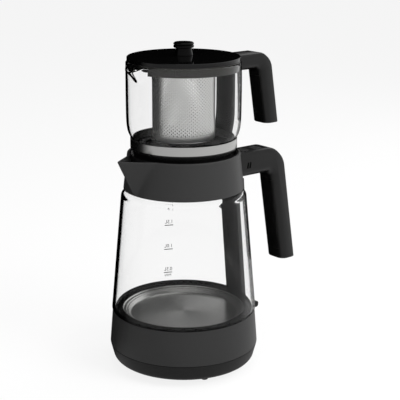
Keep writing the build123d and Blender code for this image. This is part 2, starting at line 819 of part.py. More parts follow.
with BuildPart() as upper_seal:
    turned(
        (glass_neck(neck_top) - glass_wall, neck_top + snug_gap),
        (collar_inner(neck_top) - snug_gap, neck_top + snug_gap),
        (collar_inner(upper_ledge_low) - snug_gap, upper_ledge_low - snug_gap),
        (glass_neck(neck_top) - glass_wall, upper_ledge_low - snug_gap),
    )
keep(upper_seal, "upper_seal")

# The spout is a wedge sheared up the keel line, so its two sides stay flat.
rim_point_x = collar_top_radius * cos(radians(spout_half_angle))
rim_point_y = collar_top_radius * sin(radians(spout_half_angle))
wedge_slope = rim_point_y / (spout_reach - rim_point_x)
wedge_length = 40.0        # long enough to end inside the collar
keel_foot = collar_low_radius + spout_keel_setback
keel_run = spout_reach - keel_foot
keel_direction = (-keel_run, 0, collar_height)
inner_setback = spout_wall * (1 + wedge_slope**2) ** 0.5 / wedge_slope
spout_overrun = 1.3        # share of the collar's height that the wedge runs on before it is cut


def spout_wedge(apex, height_share):
    """A triangle on the collar's lower level, pushed up along the keel."""
    with BuildSketch(Plane.XY.offset(collar_base)) as triangle:
        with BuildLine():
            Polyline(
                (-apex, 0),
                (-apex + wedge_length, -wedge_length * wedge_slope),
                (-apex + wedge_length, wedge_length * wedge_slope),
                close=True,
            )
        make_face()
    run = (keel_run**2 + collar_height**2) ** 0.5
    extrude(triangle.sketch, amount=run * height_share, dir=keel_direction)


with BuildPart() as spout_channel:
    spout_wedge(keel_foot - inner_setback, spout_overrun)

rim_tilt = Plane(origin=(-rim_point_x, 0, collar_top), x_dir=(0, 1, 0),
                 z_dir=(spout_rise, 0, spout_reach - rim_point_x))
with BuildPart() as spout_body:
    spout_wedge(keel_foot, spout_overrun)
    split(bisect_by=rim_tilt, keep=Keep.BOTTOM)
    turned(
        (0, collar_base),
        (collar_inner(collar_base), collar_base),
        (collar_inner(collar_top), collar_top),
        (collar_inner(collar_top), collar_top + collar_height),
        (0, collar_top + collar_height),
        mode=Mode.SUBTRACT,
    )

with BuildPart() as collar:
    turned(
        (collar_low_radius, collar_base),
        (collar_top_radius, collar_top),
        (collar_inner(collar_top), collar_top),
        (collar_inner(collar_base), collar_base),
    )
    rim_edges = collar.edges().group_by(Axis.Z)[-1].sort_by(SortBy.LENGTH)
    fillet(rim_edges[-1], collar_rim_round)
    ring(
        collar_inner(upper_ledge_low) + collar_wall_low / 6,
        collar_inner(upper_ledge_low) - collar_ledge_depth,
        upper_ledge_low,
        upper_ledge_low + collar_ledge_thickness,
    )
    add(spout_body.part)
    add(spout_channel.part, mode=Mode.SUBTRACT)
    with BuildSketch(Plane.YZ) as fixing_holes:
        with Locations(*root_screw_points):
            Circle(screw_radius + shaft_gap)
    extrude(fixing_holes.sketch, amount=collar_low_radius, mode=Mode.SUBTRACT)
keep(collar, "collar")

seat_skirt = seat_level - seat_skirt_depth
seat_lip = collar_top - seat_lip_drop
with BuildPart() as seat_ring:
    turned(
        (collar_inner(seat_skirt) - snug_gap, seat_skirt),
        (collar_inner(seat_lip) - snug_gap, seat_lip),
        (collar_inner(seat_lip) - snug_gap - seat_wall, seat_lip),
        (seat_radius, seat_level),
        (mouth_radius, seat_level),
        (mouth_radius, seat_skirt),
        (mouth_radius + seat_wall, seat_skirt),
        (mouth_radius + seat_wall, seat_level - seat_wall),
        (collar_inner(seat_skirt) - snug_gap - seat_wall, seat_level - seat_wall),
        (collar_inner(seat_skirt) - snug_gap - seat_wall, seat_skirt),
    )
    fillet(seat_ring.edges().group_by(Axis.Z)[-1], seat_wall / 3)
keep(seat_ring, "seat_ring")

# ---------------------------------------------------------------------------------------------
# Duct up the outside of the glass, with the wires in it
# ---------------------------------------------------------------------------------------------
port_low = ledge_low - port_height
duct_foot = port_low - duct_wall
channel_width = duct_width - 2 * duct_wall - 2 * duct_channel_margin


def duct_outer(height):
    """Distance of the duct's outer face from the axis."""
    return glass_side(height) + lift_gap + duct_depth


def duct_layer(setback, thickness, low, high):
    """Outline of a layer of the duct, set back from its outer face."""
    return [
        (duct_outer(low) - setback, low),
        (duct_outer(high) - setback, high),
        (duct_outer(high) - setback - thickness, high),
        (duct_outer(low) - setback - thickness, low),
    ]


with BuildPart() as duct:
    side_plate(duct_layer(0, 2.5 * duct_depth, duct_foot, arm_under - snug_gap), duct_width)
    outer_edges = duct.faces().sort_by(Axis.X)[-1].edges().filter_by(Axis.Y, reverse=True)
    fillet(outer_edges, duct_round)
    side_plate(duct_layer(duct_wall, duct_channel_depth, port_low, arm_under), channel_width,
               mode=Mode.SUBTRACT)
    block((ledge_radius, duct_outer(ledge_low) - duct_wall), channel_width, port_low, ledge_low,
          Mode.SUBTRACT)
    turned(
        (0, 0),
        (kettle_base_low_radius + snug_gap, 0),
        (kettle_base_low_radius + snug_gap, parting),
        (kettle_base_rim_radius + 2 * snug_gap, kettle_rim),
        (glass_low_radius + lift_gap, kettle_rim),
        (glass_low_radius + lift_gap, glass_foot),
        (glass_side(arm_under) + lift_gap, arm_under),
        (0, arm_under),
        mode=Mode.SUBTRACT,
    )
keep(duct, "duct")

# ---------------------------------------------------------------------------------------------
# Handles: a hollow shell, a cover let into the inner face, and a plug in the open end
# ---------------------------------------------------------------------------------------------
class Handle:
    """The outline of a handle that leaves the pot level and turns down into a leaning grip."""

    def __init__(self, root, top, under, reach, thickness, end, wall):
        self.root, self.top, self.under = root, top, under
        self.reach, self.thickness, self.end, self.wall = reach, thickness, end, wall
        self.slope = tan(radians(grip_lean))
        self.lean = cos(radians(grip_lean))

    def centre(self, height):
        """Distance of the grip's centre line from the axis."""
        return self.reach + (self.under - height) * self.slope

    def inner(self, height, inset=0.0):
        return self.centre(height) - (self.thickness / 2 - inset) / self.lean

    def outer(self, height, inset=0.0):
        return self.centre(height) + (self.thickness / 2 - inset) / self.lean

    def outline(self, inset=0.0, root=None, top_inset=None, end=None):
        """Corners of the outline, moved inwards all round by an inset."""
        root = self.root if root is None else root
        top = self.top - (inset if top_inset is None else top_inset)
        under = self.under + inset
        end = self.end if end is None else end
        return [
            (root, top),
            (self.outer(top, inset), top),
            (self.outer(end, inset), end),
            (self.inner(end, inset), end),
            (self.inner(under, inset), under),
            (root, under),
        ]

    def inner_strip(self, low, high, thickness):
        """A strip lying in the grip's inner face."""
        return [
            (self.inner(low), low),
            (self.inner(high), high),
            (self.inner(high, thickness), high),
            (self.inner(low, thickness), low),
        ]

    def face_plane(self, height):
        """Plane on the grip's inner face, looking into the grip."""
        normal = (cos(radians(grip_lean)), 0, sin(radians(grip_lean)))
        return Plane(origin=(self.inner(height), 0, height), x_dir=(0, 1, 0), z_dir=normal)


def bar_in(plane, radius, depth, length, mode=Mode.ADD):
    """A round bar or hole that starts at a depth below a plane."""
    with BuildSketch(plane.offset(depth)) as circle:
        Circle(radius)
    extrude(circle.sketch, amount=length, mode=mode)


kettle_handle = Handle(
    root=collar_inner(arm_top), top=arm_top, under=arm_under, reach=grip_reach,
    thickness=grip_thickness, end=grip_end_height, wall=handle_wall,
)
panel_top = arm_top - panel_recess
panel_low = panel_top - panel_thickness
ceiling = arm_top - handle_wall - panel_thickness - panel_recess
cavity_root = collar_low_radius + 1.5 * handle_wall
strip_low = grip_end_height + strip_end_margin
strip_high = arm_under - strip_top_margin
strip_width = handle_width - 2 * strip_side_margin
cap_top = grip_end_height + end_cap_thickness
handle_screw_heights = (strip_high - strip_screw_margin, strip_low + strip_screw_margin)
handle_boss_radius = screw_radius + handle_wall

with BuildPart() as handle_form:
    side_plate(
        kettle_handle.outline(),
        handle_width,
        radii=[0, handle_outer_bend, 0, 0, handle_inner_bend, 0],
    )
    long_edges = handle_form.edges().filter_by(Axis.Y, reverse=True)
    rounded = [edge for edge in long_edges if edge.center().X > collar_top_radius
               and edge.center().Z > cap_top]
    fillet(rounded, handle_edge_round)
    turned(
        (0, arm_under),
        (collar_outer(arm_under) + 2 * snug_gap, arm_under),
        (collar_outer(arm_top) + 2 * snug_gap, arm_top),
        (0, arm_top),
        mode=Mode.SUBTRACT,
    )

with BuildPart() as handle_shell:
    add(handle_form.part)
    split(bisect_by=Plane.XY.offset(cap_top), keep=Keep.TOP)
    side_plate(
        kettle_handle.outline(handle_wall, cavity_root, arm_top - ceiling, grip_end_height),
        handle_width - 2 * handle_wall,
        radii=[0, handle_outer_bend - 2 * handle_wall, 0, 0, handle_inner_bend, 0],
        mode=Mode.SUBTRACT,
    )
    for height in handle_screw_heights:
        bar_in(kettle_handle.face_plane(height), handle_boss_radius, handle_wall + snug_gap,
               grip_thickness - 1.5 * handle_wall)
        bar_in(kettle_handle.face_plane(height), screw_radius + shaft_gap, 0,
               screw_length + 1.5 * handle_wall, Mode.SUBTRACT)
    side_plate(
        kettle_handle.inner_strip(strip_low - snug_gap, strip_high + snug_gap, handle_wall + snug_gap),
        strip_width + 2 * snug_gap,
        mode=Mode.SUBTRACT,
    )
    block((panel_start - snug_gap, panel_end + snug_gap), panel_width + 2 * snug_gap, panel_low - shaft_gap,
          arm_top, Mode.SUBTRACT, round_off=panel_round)
    block((panel_start + panel_ledge, panel_end - panel_ledge), panel_width - 2 * panel_side_ledge,
          ceiling - snug_gap, panel_low, Mode.SUBTRACT, round_off=panel_round / 2)
    duct_mouth = duct_outer(arm_under) - duct_wall
    block((duct_mouth - duct_channel_depth, duct_mouth), channel_width, arm_under,
          arm_under + handle_wall + snug_gap, Mode.SUBTRACT)
    slit_low = arm_under + slit_rise
    slit_high = slit_low + slit_height
    with BuildSketch(Plane.XZ.offset(handle_width / 2 - 1.5 * handle_wall)) as slits:
        for x in slit_positions:
            with BuildLine():
                Polyline(
                    (x - slit_width / 2, slit_low),
                    (x + slit_width / 2, slit_low),
                    (x + slit_width / 2 + slit_slant, slit_high),
                    (x - slit_width / 2 + slit_slant, slit_high),
                    close=True,
                )
            make_face()
    extrude(slits.sketch, amount=2 * handle_wall, mode=Mode.SUBTRACT)
    with BuildSketch(Plane.YZ) as fixing_holes:
        with Locations(*root_screw_points):
            Circle(screw_radius + shaft_gap)
    extrude(fixing_holes.sketch, amount=cavity_root + snug_gap, mode=Mode.SUBTRACT)
keep(handle_shell, "handle_shell")

with BuildPart() as handle_cover:
    side_plate(kettle_handle.inner_strip(strip_low, strip_high, handle_wall), strip_width)
    for height in handle_screw_heights:
        bar_in(kettle_handle.face_plane(height), screw_head_radius + snug_gap, -handle_wall,
               handle_wall + head_depth + thin_head_height, Mode.SUBTRACT)
        bar_in(kettle_handle.face_plane(height), screw_radius + shaft_gap, 0, 1.5 * handle_wall,
               Mode.SUBTRACT)
keep(handle_cover, "handle_cover")

with BuildPart() as handle_screws:
    for height in handle_screw_heights:
        bar_in(kettle_handle.face_plane(height), screw_head_radius, head_depth, thin_head_height)
        bar_in(kettle_handle.face_plane(height), screw_radius, head_depth + thin_head_height, screw_length)
    for y, height in root_screw_points:
        head_side = root_screw_spread + screw_head_radius
        head_seat = (collar_inner(height) ** 2 - head_side**2) ** 0.5 - 2 * snug_gap
        head_plane = Plane(origin=(head_seat, y, height), x_dir=(0, 1, 0), z_dir=(1, 0, 0))
        bar_in(head_plane, screw_head_radius, -thin_head_height, thin_head_height)
        bar_in(head_plane, screw_radius, 0, cavity_root - head_seat)
keep(handle_screws, "handle_screws")

with BuildPart() as handle_end_cap:
    add(handle_form.part)
    split(bisect_by=Plane.XY.offset(cap_top - shaft_gap), keep=Keep.BOTTOM)
    fillet(handle_end_cap.faces().sort_by(Axis.Z)[0].edges(), end_round)
    plug_low = cap_top - end_cap_thickness / 3
    plug_high = cap_top + end_cap_plug
    side_plate(
        [
            (kettle_handle.outer(plug_low, handle_wall + snug_gap), plug_low),
            (kettle_handle.outer(plug_high, handle_wall + snug_gap), plug_high),
            (kettle_handle.inner(plug_high, handle_wall + snug_gap), plug_high),
            (kettle_handle.inner(plug_low, handle_wall + snug_gap), plug_low),
        ],
        handle_width - 2 * handle_wall - 2 * snug_gap,
    )
keep(handle_end_cap, "handle_end_cap")

board_low = arm_under + board_rise
board_top = board_low + board_thickness
board_start = cavity_root + lift_gap
key_top = board_top + switch_height + plunger_height
button_hole = 2 * lift_gap
with BuildPart() as control_panel:
    block((panel_start, panel_end), panel_width, panel_low, panel_top, round_off=panel_round)
    for x in button_positions:
        block((x - (button_length + button_hole) / 2, x + (button_length + button_hole) / 2),
              button_width + button_hole, panel_low, panel_top, Mode.SUBTRACT,
              round_off=button_round + lift_gap)
keep(control_panel, "control_panel")

flange_top = panel_low - snug_gap
flange_low = flange_top - button_flange_thickness
for x, button_name in zip(button_positions, ("boil_button", "tea_button")):
    with BuildPart() as button:
        block((x - button_length / 2, x + button_length / 2), button_width, flange_low,
              panel_top + button_proud, round_off=button_round)
        fillet(button.faces().sort_by(Axis.Z)[-1].edges(), button_proud)
        block((x - button_length / 2 - button_flange, x + button_length / 2 + button_flange),
              button_width + 2 * button_flange, flange_low, flange_top, round_off=button_round)
        upright(x, 0, key_plunger_radius, key_top + button_travel + snug_gap, flange_low)
    keep(button, button_name)

with BuildPart() as control_board:
    block((board_start, panel_end), handle_width - 2 * handle_wall - 2 * snug_gap, board_low, board_top)
keep(control_board, "control_board")

with BuildPart() as tact_switches:
    for x in button_positions:
        block((x - switch_body / 2, x + switch_body / 2), switch_body, board_top, board_top + switch_height)
        upright(x, 0, key_plunger_radius, board_top + switch_height, key_top)
keep(tact_switches, "tact_switches")

loom_setback = duct_wall + duct_channel_depth / 2 - loom_thickness / 2
loom_low = port_low + 1.0
loom_end = switch_end - switch_length / 2
with BuildPart() as wire_loom:
    side_plate(duct_layer(loom_setback, loom_thickness, loom_low, board_low - shaft_gap), loom_width)
    block((loom_end, duct_outer(port_low) - loom_setback), loom_width, loom_low, loom_low + loom_thickness)
    block((loom_end, loom_end + loom_thickness), loom_width, switch_top + shaft_gap,
          loom_low + loom_thickness)
keep(wire_loom, "wire_loom")

# ---------------------------------------------------------------------------------------------
# Teapot: glass, foot ring, steel band, strap and handle
# ---------------------------------------------------------------------------------------------
cup_radius = band_radius - band_thickness - snug_gap
belly_height = teapot_rim - belly_drop
glass_start = band_top + snug_gap


def teapot_profile(growth):
    """Points of the teapot glass's bulging side, moved outwards by a growth."""
    return [
        (cup_radius + growth, glass_start),
        (teapot_belly_radius - bulge_foot_inset + growth, glass_start + bulge_foot_rise),
        (teapot_belly_radius - bulge_side_inset + growth, glass_start + bulge_side_rise),
        (teapot_belly_radius + growth, belly_height),
        (teapot_rim_radius + growth, teapot_rim),
    ]


lip_run = lip_reach - teapot_belly_radius + 1.0
lip_slope = lip_half_width / (lip_reach - teapot_rim_radius)
lip_setback = lip_wall * (1 + lip_slope**2) ** 0.5 / lip_slope
lip_length = 26.0          # long enough to end inside the glass
lip_overrun = 1.2          # share of the lip's depth that the wedge runs on before it is cut


def lip_wedge(apex):
    """A triangle below the rim, pushed up and out to the lip's tip."""
    with BuildSketch(Plane.XY.offset(teapot_rim - lip_depth)) as triangle:
        with BuildLine():
            Polyline(
                (-apex, 0),
                (-apex + lip_length, -lip_length * lip_slope),
                (-apex + lip_length, lip_length * lip_slope),
                close=True,
            )
        make_face()
    run = (lip_run**2 + lip_depth**2) ** 0.5
    extrude(triangle.sketch, amount=run * lip_overrun, dir=(-lip_run, 0, lip_depth))


with BuildPart() as lip_outer:
    lip_wedge(lip_reach - lip_run)
    split(bisect_by=Plane.XY.offset(teapot_rim), keep=Keep.BOTTOM)
    lip_root = teapot_belly_radius - teapot_wall / 2
    turned((0, 0), (lip_root, 0), (lip_root, 2 * teapot_rim), (0, 2 * teapot_rim), mode=Mode.SUBTRACT)

with BuildPart() as lip_inner:
    lip_wedge(lip_reach - lip_run - lip_setback)
    inside = teapot_belly_radius - 1.7 * teapot_wall
    turned((0, 0), (inside, 0), (inside, 2 * teapot_rim), (0, 2 * teapot_rim), mode=Mode.SUBTRACT)

with BuildPart() as teapot_glass:
    with BuildSketch(Plane.XZ):
        with BuildLine():
            bulge = teapot_profile(0)
            hollow = teapot_profile(-teapot_wall)
            hollow_floor = teapot_glass_base + teapot_wall
            Polyline((0, teapot_glass_base), (cup_radius - teapot_bottom_bevel, teapot_glass_base),
                     (cup_radius, teapot_glass_base + teapot_bottom_bevel), bulge[0])
            Spline(*bulge, tangents=((1, 1), (-0.02, 1)))
            Line(bulge[-1], hollow[-1])
            Spline(*reversed(hollow), tangents=((0.02, -1), (-1, -1)))
            Polyline(hollow[0], (hollow[0][0], hollow_floor + teapot_bottom_bevel),
                     (hollow[0][0] - teapot_bottom_bevel, hollow_floor), (0, hollow_floor),
                     (0, teapot_glass_base))
        make_face()
    revolve(axis=Axis.Z)
    add(lip_outer.part)
    add(lip_inner.part, mode=Mode.SUBTRACT)
    dip_radius = ((lip_half_width + lip_wall) ** 2 + lip_dip**2) / (2 * lip_dip)
    with BuildSketch(Plane.YZ.offset(-2 * lip_reach)) as dip:
        with Locations((0, teapot_rim - lip_dip + dip_radius)):
            Circle(dip_radius)
    extrude(dip.sketch, amount=1.5 * lip_reach, mode=Mode.SUBTRACT)
keep(teapot_glass, "teapot_glass")

with BuildPart() as teapot_base_ring:
    cup_bore = cup_radius + snug_gap
    ring_inner = mouth_radius + teapot_ring_wall
    turned(
        (band_radius, band_base - shaft_gap),
        (band_radius, band_base - ring_step),
        (teapot_foot_radius, teapot_foot + ring_cone_rise),
        (teapot_foot_radius, teapot_foot + ring_chamfer),
        (teapot_foot_radius - ring_chamfer, teapot_foot),
        (ring_inner, teapot_foot),
        (ring_inner, teapot_glass_base - shaft_gap),
        (cup_bore - teapot_bottom_bevel, teapot_glass_base - shaft_gap),
        (cup_bore, teapot_glass_base + teapot_bottom_bevel - shaft_gap),
        (cup_bore, band_base - shaft_gap),
    )
keep(teapot_base_ring, "teapot_base_ring")

with BuildPart() as teapot_band:
    ring(band_radius, band_radius - band_thickness, band_base, band_top)
    fillet(teapot_band.edges().group_by(Axis.Z)[-1], band_thickness / 3)
keep(teapot_band, "teapot_band")

with BuildPart() as teapot_envelope:
    with BuildSketch(Plane.XZ):
        with BuildLine():
            skin = teapot_profile(2 * snug_gap)
            Polyline((0, teapot_foot), (band_radius + snug_gap, teapot_foot),
                     (band_radius + snug_gap, band_top), (skin[0][0], glass_start))
            Spline(*skin, tangents=((1, 1), (-0.02, 1)))
            Polyline(skin[-1], (skin[-1][0], 2 * teapot_rim), (0, 2 * teapot_rim), (0, teapot_foot))
        make_face()
    revolve(axis=Axis.Z)

teapot_arm_top = teapot_rim + teapot_arm_top_rise
teapot_arm_under = teapot_arm_top - teapot_arm_height
strap_root = cup_radius - 2 * teapot_wall
with BuildPart() as teapot_strap:
    strap_outer = teapot_belly_radius + teapot_strap_depth
    strap_low = band_base + snug_gap
    side_plate(
        (
            (strap_root, strap_low),
            (band_radius + strap_foot_depth, strap_low),
            (strap_outer, glass_start + strap_foot_height),
            (strap_outer, teapot_arm_under - snug_gap),
            (strap_root, teapot_arm_under - snug_gap),
        ),
        teapot_strap_width,
    )
    strap_edges = [edge for edge in teapot_strap.edges().filter_by(Axis.Y, reverse=True)
                   if edge.center().X > teapot_belly_radius and abs(edge.center().Y) > 1.0]
    fillet(strap_edges, teapot_strap_round)
    add(teapot_envelope.part, mode=Mode.SUBTRACT)
keep(teapot_strap, "teapot_strap")

teapot_handle = Handle(
    root=strap_root, top=teapot_arm_top, under=teapot_arm_under, reach=teapot_grip_reach,
    thickness=teapot_grip_thickness, end=teapot_arm_under - teapot_grip_drop, wall=handle_wall,
)
teapot_strip_low = teapot_handle.end + teapot_strip_end_margin
teapot_strip_high = teapot_arm_under - teapot_strip_top_margin
teapot_strip_width = teapot_handle_width - 2 * strip_side_margin
teapot_screw_heights = (teapot_strip_high - teapot_screw_margin, teapot_strip_low + teapot_screw_margin)
with BuildPart() as teapot_handle_shell:
    side_plate(
        teapot_handle.outline(),
        teapot_handle_width,
        radii=[0, teapot_outer_bend, 0, 0, teapot_inner_bend, 0],
    )
    long_edges = teapot_handle_shell.edges().filter_by(Axis.Y, reverse=True)
    rounded = [edge for edge in long_edges if edge.center().X > teapot_rim_radius
               and edge.center().Z > teapot_handle.end + end_round]
    fillet(rounded, teapot_edge_round)
    fillet(teapot_handle_shell.faces().sort_by(Axis.Z)[0].edges(), end_round)
    add(teapot_envelope.part, mode=Mode.SUBTRACT)
    side_plate(
        teapot_handle.outline(handle_wall, teapot_belly_radius + 1.5 * handle_wall, handle_wall,
                              teapot_handle.end + handle_wall),
        teapot_handle_width - 2 * handle_wall,
        radii=[0, teapot_outer_bend - handle_wall, 0, 0, teapot_inner_bend, 0],
        mode=Mode.SUBTRACT,
    )
    for height in teapot_screw_heights:
        bar_in(teapot_handle.face_plane(height), handle_boss_radius, handle_wall + snug_gap,
               teapot_grip_thickness - 1.5 * handle_wall)
        bar_in(teapot_handle.face_plane(height), screw_radius + shaft_gap, 0,
               screw_length + 1.5 * handle_wall, Mode.SUBTRACT)
    side_plate(
        teapot_handle.inner_strip(teapot_strip_low - snug_gap, teapot_strip_high + snug_gap,
                                  handle_wall + snug_gap),
        teapot_strip_width + 2 * snug_gap,
        mode=Mode.SUBTRACT,
    )
keep(teapot_handle_shell, "teapot_handle_shell")

with BuildPart() as teapot_handle_cover:
    side_plate(teapot_handle.inner_strip(teapot_strip_low, teapot_strip_high, handle_wall),
               teapot_strip_width)
    for height in teapot_screw_heights:
        bar_in(teapot_handle.face_plane(height), screw_head_radius + snug_gap, -handle_wall,
               handle_wall + head_depth + thin_head_height, Mode.SUBTRACT)
        bar_in(teapot_handle.face_plane(height), screw_radius + shaft_gap, 0, 1.5 * handle_wall,
               Mode.SUBTRACT)
keep(teapot_handle_cover, "teapot_handle_cover")

with BuildPart() as teapot_handle_screws:
    for height in teapot_screw_heights:
        bar_in(teapot_handle.face_plane(height), screw_head_radius, head_depth, thin_head_height)
        bar_in(teapot_handle.face_plane(height), screw_radius, head_depth + thin_head_height, screw_length)
keep(teapot_handle_screws, "teapot_handle_screws")

# ---------------------------------------------------------------------------------------------
# Strainer: a plastic ring that hangs in the glass rim, and the steel basket in it
# ---------------------------------------------------------------------------------------------
skirt_radius = teapot_rim_radius - teapot_wall - ring_skirt_gap
flange_base = teapot_rim + snug_gap
ring_bore = strainer_radius + snug_gap
socket_low = ring_deck - ring_socket_depth
skirt_low = teapot_rim - ring_skirt_height
with BuildPart() as strainer_ring:
    turned(
        (skirt_radius, skirt_low),
        (skirt_radius, flange_base),
        (lid_radius, flange_base),
        (lid_radius, flange_base + ring_flange),
        (skirt_radius - ring_wall, flange_base + ring_flange),
        (skirt_radius - ring_wall, ring_deck),
        (ring_bore, ring_deck),
        (ring_bore, socket_low),
        (ring_bore + ring_wall, socket_low),
        (ring_bore + ring_wall, ring_deck - ring_deck_thickness),
        (skirt_radius - ring_wall, ring_deck - ring_deck_thickness),
        (skirt_radius - ring_wall, skirt_low),
    )
    cut_root = (skirt_radius - ring_wall) ** 2 - (spout_cut_width / 2) ** 2
    block((-teapot_belly_radius, -cut_root**0.5), spout_cut_width, skirt_low, teapot_rim - spout_cut_drop,
          Mode.SUBTRACT)
    slot_plane = Plane(
        origin=(0, 0, teapot_rim - ring_skirt_height / 2),
        x_dir=(-sin(radians(skirt_slot_angle)), cos(radians(skirt_slot_angle)), 0),
        z_dir=(cos(radians(skirt_slot_angle)), sin(radians(skirt_slot_angle)), 0),
    )
    with BuildSketch(slot_plane.offset(skirt_radius - skirt_slot_depth)) as slot:
        Rectangle(skirt_slot_width, skirt_slot_height)
    extrude(slot.sketch, amount=2 * skirt_slot_depth, mode=Mode.SUBTRACT)
keep(strainer_ring, "strainer_ring")

with BuildPart() as strainer_basket:
    basket_low = ring_deck - strainer_depth
    basket_top = ring_deck + shaft_gap + strainer_wall
    turned(
        (0, basket_low),
        (strainer_radius - basket_bevel, basket_low),
        (strainer_radius, basket_low + basket_bevel),
        (strainer_radius, ring_deck + shaft_gap),
        (strainer_radius + basket_flange, ring_deck + shaft_gap),
        (strainer_radius + basket_flange, basket_top),
        (strainer_radius - strainer_wall, basket_top),
        (strainer_radius - strainer_wall, basket_low + basket_bevel + strainer_wall / 2),
        (strainer_radius - basket_bevel - strainer_wall / 2, basket_low + strainer_wall),
        (0, basket_low + strainer_wall),
    )
keep(strainer_basket, "strainer_basket")

# ---------------------------------------------------------------------------------------------
# Lid with its knob, and the guide ring welded into its underside
# ---------------------------------------------------------------------------------------------
lid_top = lid_base + lid_rim_height
lid_centre = lid_top + lid_dome
guide_radius = skirt_radius - ring_wall - lid_guide_gap
lid_hollow_radius = guide_radius - lid_guide_step
lid_hollow_top = lid_centre - lid_skin
with BuildPart() as lid:
    with BuildSketch(Plane.XZ):
        with BuildLine():
            TangentArc((0, lid_centre), (lid_radius - lid_bevel, lid_top), tangent=(1, 0))
            Polyline(
                (lid_radius - lid_bevel, lid_top),
                (lid_radius, lid_top - lid_bevel),
                (lid_radius, lid_base),
                (lid_hollow_radius, lid_base),
                (lid_hollow_radius, lid_hollow_top),
                (0, lid_hollow_top),
                (0, lid_centre),
            )
        make_face()
    revolve(axis=Axis.Z)
    upright(0, 0, screw_radius + shaft_gap, lid_hollow_top, lid_centre, Mode.SUBTRACT)
keep(lid, "lid")

with BuildPart() as lid_guide:
    turned(
        (guide_radius, lid_base - lid_guide_depth),
        (guide_radius, lid_base - snug_gap),
        (lid_hollow_radius - snug_gap, lid_base - snug_gap),
        (lid_hollow_radius - snug_gap, lid_hollow_top - snug_gap),
        (guide_radius - lid_guide_wall, lid_hollow_top - snug_gap),
        (guide_radius - lid_guide_wall, lid_base - lid_guide_depth),
    )
keep(lid_guide, "lid_guide")

knob_base = lid_centre + shaft_gap
knob_disc_low = knob_base + knob_stem_height
knob_top = knob_disc_low + knob_height
knob_middle = (knob_disc_low + knob_top) / 2
with BuildPart() as lid_knob:
    turned(
        (0, knob_base),
        (knob_foot_radius, knob_base),
        (knob_foot_radius, knob_base + knob_foot_height),
        (knob_stem_radius, knob_disc_low),
        (knob_radius - knob_bevel / 2, knob_disc_low),
        (knob_radius, knob_disc_low + knob_bevel / 2),
        (knob_radius, knob_middle - knob_groove),
        (knob_radius - knob_groove, knob_middle),
        (knob_radius, knob_middle + knob_groove),
        (knob_radius, knob_top - knob_bevel),
        (knob_radius - knob_bevel, knob_top),
        (0, knob_top),
    )
    upright(0, 0, screw_radius + shaft_gap, knob_base, knob_base + screw_length, Mode.SUBTRACT)
keep(lid_knob, "lid_knob")

with BuildPart() as lid_screw:
    screw_head_top = lid_hollow_top - shaft_gap
    upright(0, 0, screw_head_radius, screw_head_top - screw_head_height, screw_head_top)
    upright(0, 0, screw_radius, screw_head_top, screw_head_top + screw_length)
keep(lid_screw, "lid_screw")

# ---------------------------------------------------------------------------------------------
# Files, one for each piece
# ---------------------------------------------------------------------------------------------
os.makedirs("parts", exist_ok=True)
for name, piece in parts.items():
    export_step(piece, f"parts/{name}.step")
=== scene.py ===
import bmesh
import bpy
from math import atan2, cos, exp, hypot, pi, radians, sin, tan
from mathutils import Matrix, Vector


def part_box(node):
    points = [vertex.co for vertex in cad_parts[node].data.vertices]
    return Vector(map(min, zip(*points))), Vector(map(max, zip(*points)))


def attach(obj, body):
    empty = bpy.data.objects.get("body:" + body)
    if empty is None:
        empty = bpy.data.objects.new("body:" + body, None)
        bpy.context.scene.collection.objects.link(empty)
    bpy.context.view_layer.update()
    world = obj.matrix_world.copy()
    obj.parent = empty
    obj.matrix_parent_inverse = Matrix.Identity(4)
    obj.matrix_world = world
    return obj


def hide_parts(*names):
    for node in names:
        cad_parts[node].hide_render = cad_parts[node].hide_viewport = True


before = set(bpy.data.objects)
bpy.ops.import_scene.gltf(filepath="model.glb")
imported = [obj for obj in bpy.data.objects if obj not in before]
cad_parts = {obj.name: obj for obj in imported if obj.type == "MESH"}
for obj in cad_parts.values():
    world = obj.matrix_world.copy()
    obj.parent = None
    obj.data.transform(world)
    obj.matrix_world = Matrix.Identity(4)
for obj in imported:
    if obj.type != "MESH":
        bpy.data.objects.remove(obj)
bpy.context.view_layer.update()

MM = 0.001                 # the sizes of the pieces are written in millimetres

# ---------------------------------------------------------------------------------------------
# Studio: a portrait lens from the left, in front and above, a white sweep and soft lamps.  The
# eye sees white behind the pots.  Gloss mirrors white walls and black flags, so that black
# plastic stays black.
# ---------------------------------------------------------------------------------------------
camera_dip, camera_turn = 15.53, -39
camera = bpy.data.objects.new("camera", bpy.data.cameras.new("camera"))
bpy.context.scene.collection.objects.link(camera)
camera.location = (-0.6987, -0.8629, 0.4860)
camera.rotation_euler = (radians(90 - camera_dip), 0, radians(camera_turn))
camera.data.lens = 99.9
camera.data.shift_x = 0.0407
bpy.context.scene.camera = camera
bpy.context.scene.view_settings.view_transform = "Standard"


def linear(shade):
    """An sRGB hex colour as linear red, green, blue and alpha."""
    parts = [int(shade[at:at + 2], 16) / 255 for at in (1, 3, 5)]
    return [part / 12.92 if part <= 0.04045 else ((part + 0.055) / 1.055) ** 2.4 for part in parts] + [1]


def add_node(tree, kind, inputs=None, **settings):
    """Add a shader node, set its properties, and fill its sockets with values or other outputs."""
    made = tree.nodes.new("ShaderNode" + kind)
    for name, value in settings.items():
        setattr(made, name, value)
    for socket, value in (inputs or {}).items():
        if isinstance(value, bpy.types.NodeSocket):
            tree.links.new(value, made.inputs[socket])
        else:
            made.inputs[socket].default_value = value
    return made


# Brightness of the mirrored walls by azimuth in degrees: black flags stand from 40 to 136.
wall_levels = ((-180, 0.60), (-129, 0.65), (-47, 0.74), (23, 0.82), (40, 0.0), (136, 0.0), (158, 0.58))
# The soft ceiling starts between these sines of the elevation, and fades between these azimuths.
ceiling_start, ceiling_full = 0.26, 0.36
ceiling_dark_turn, ceiling_bright_turn = 56, 38


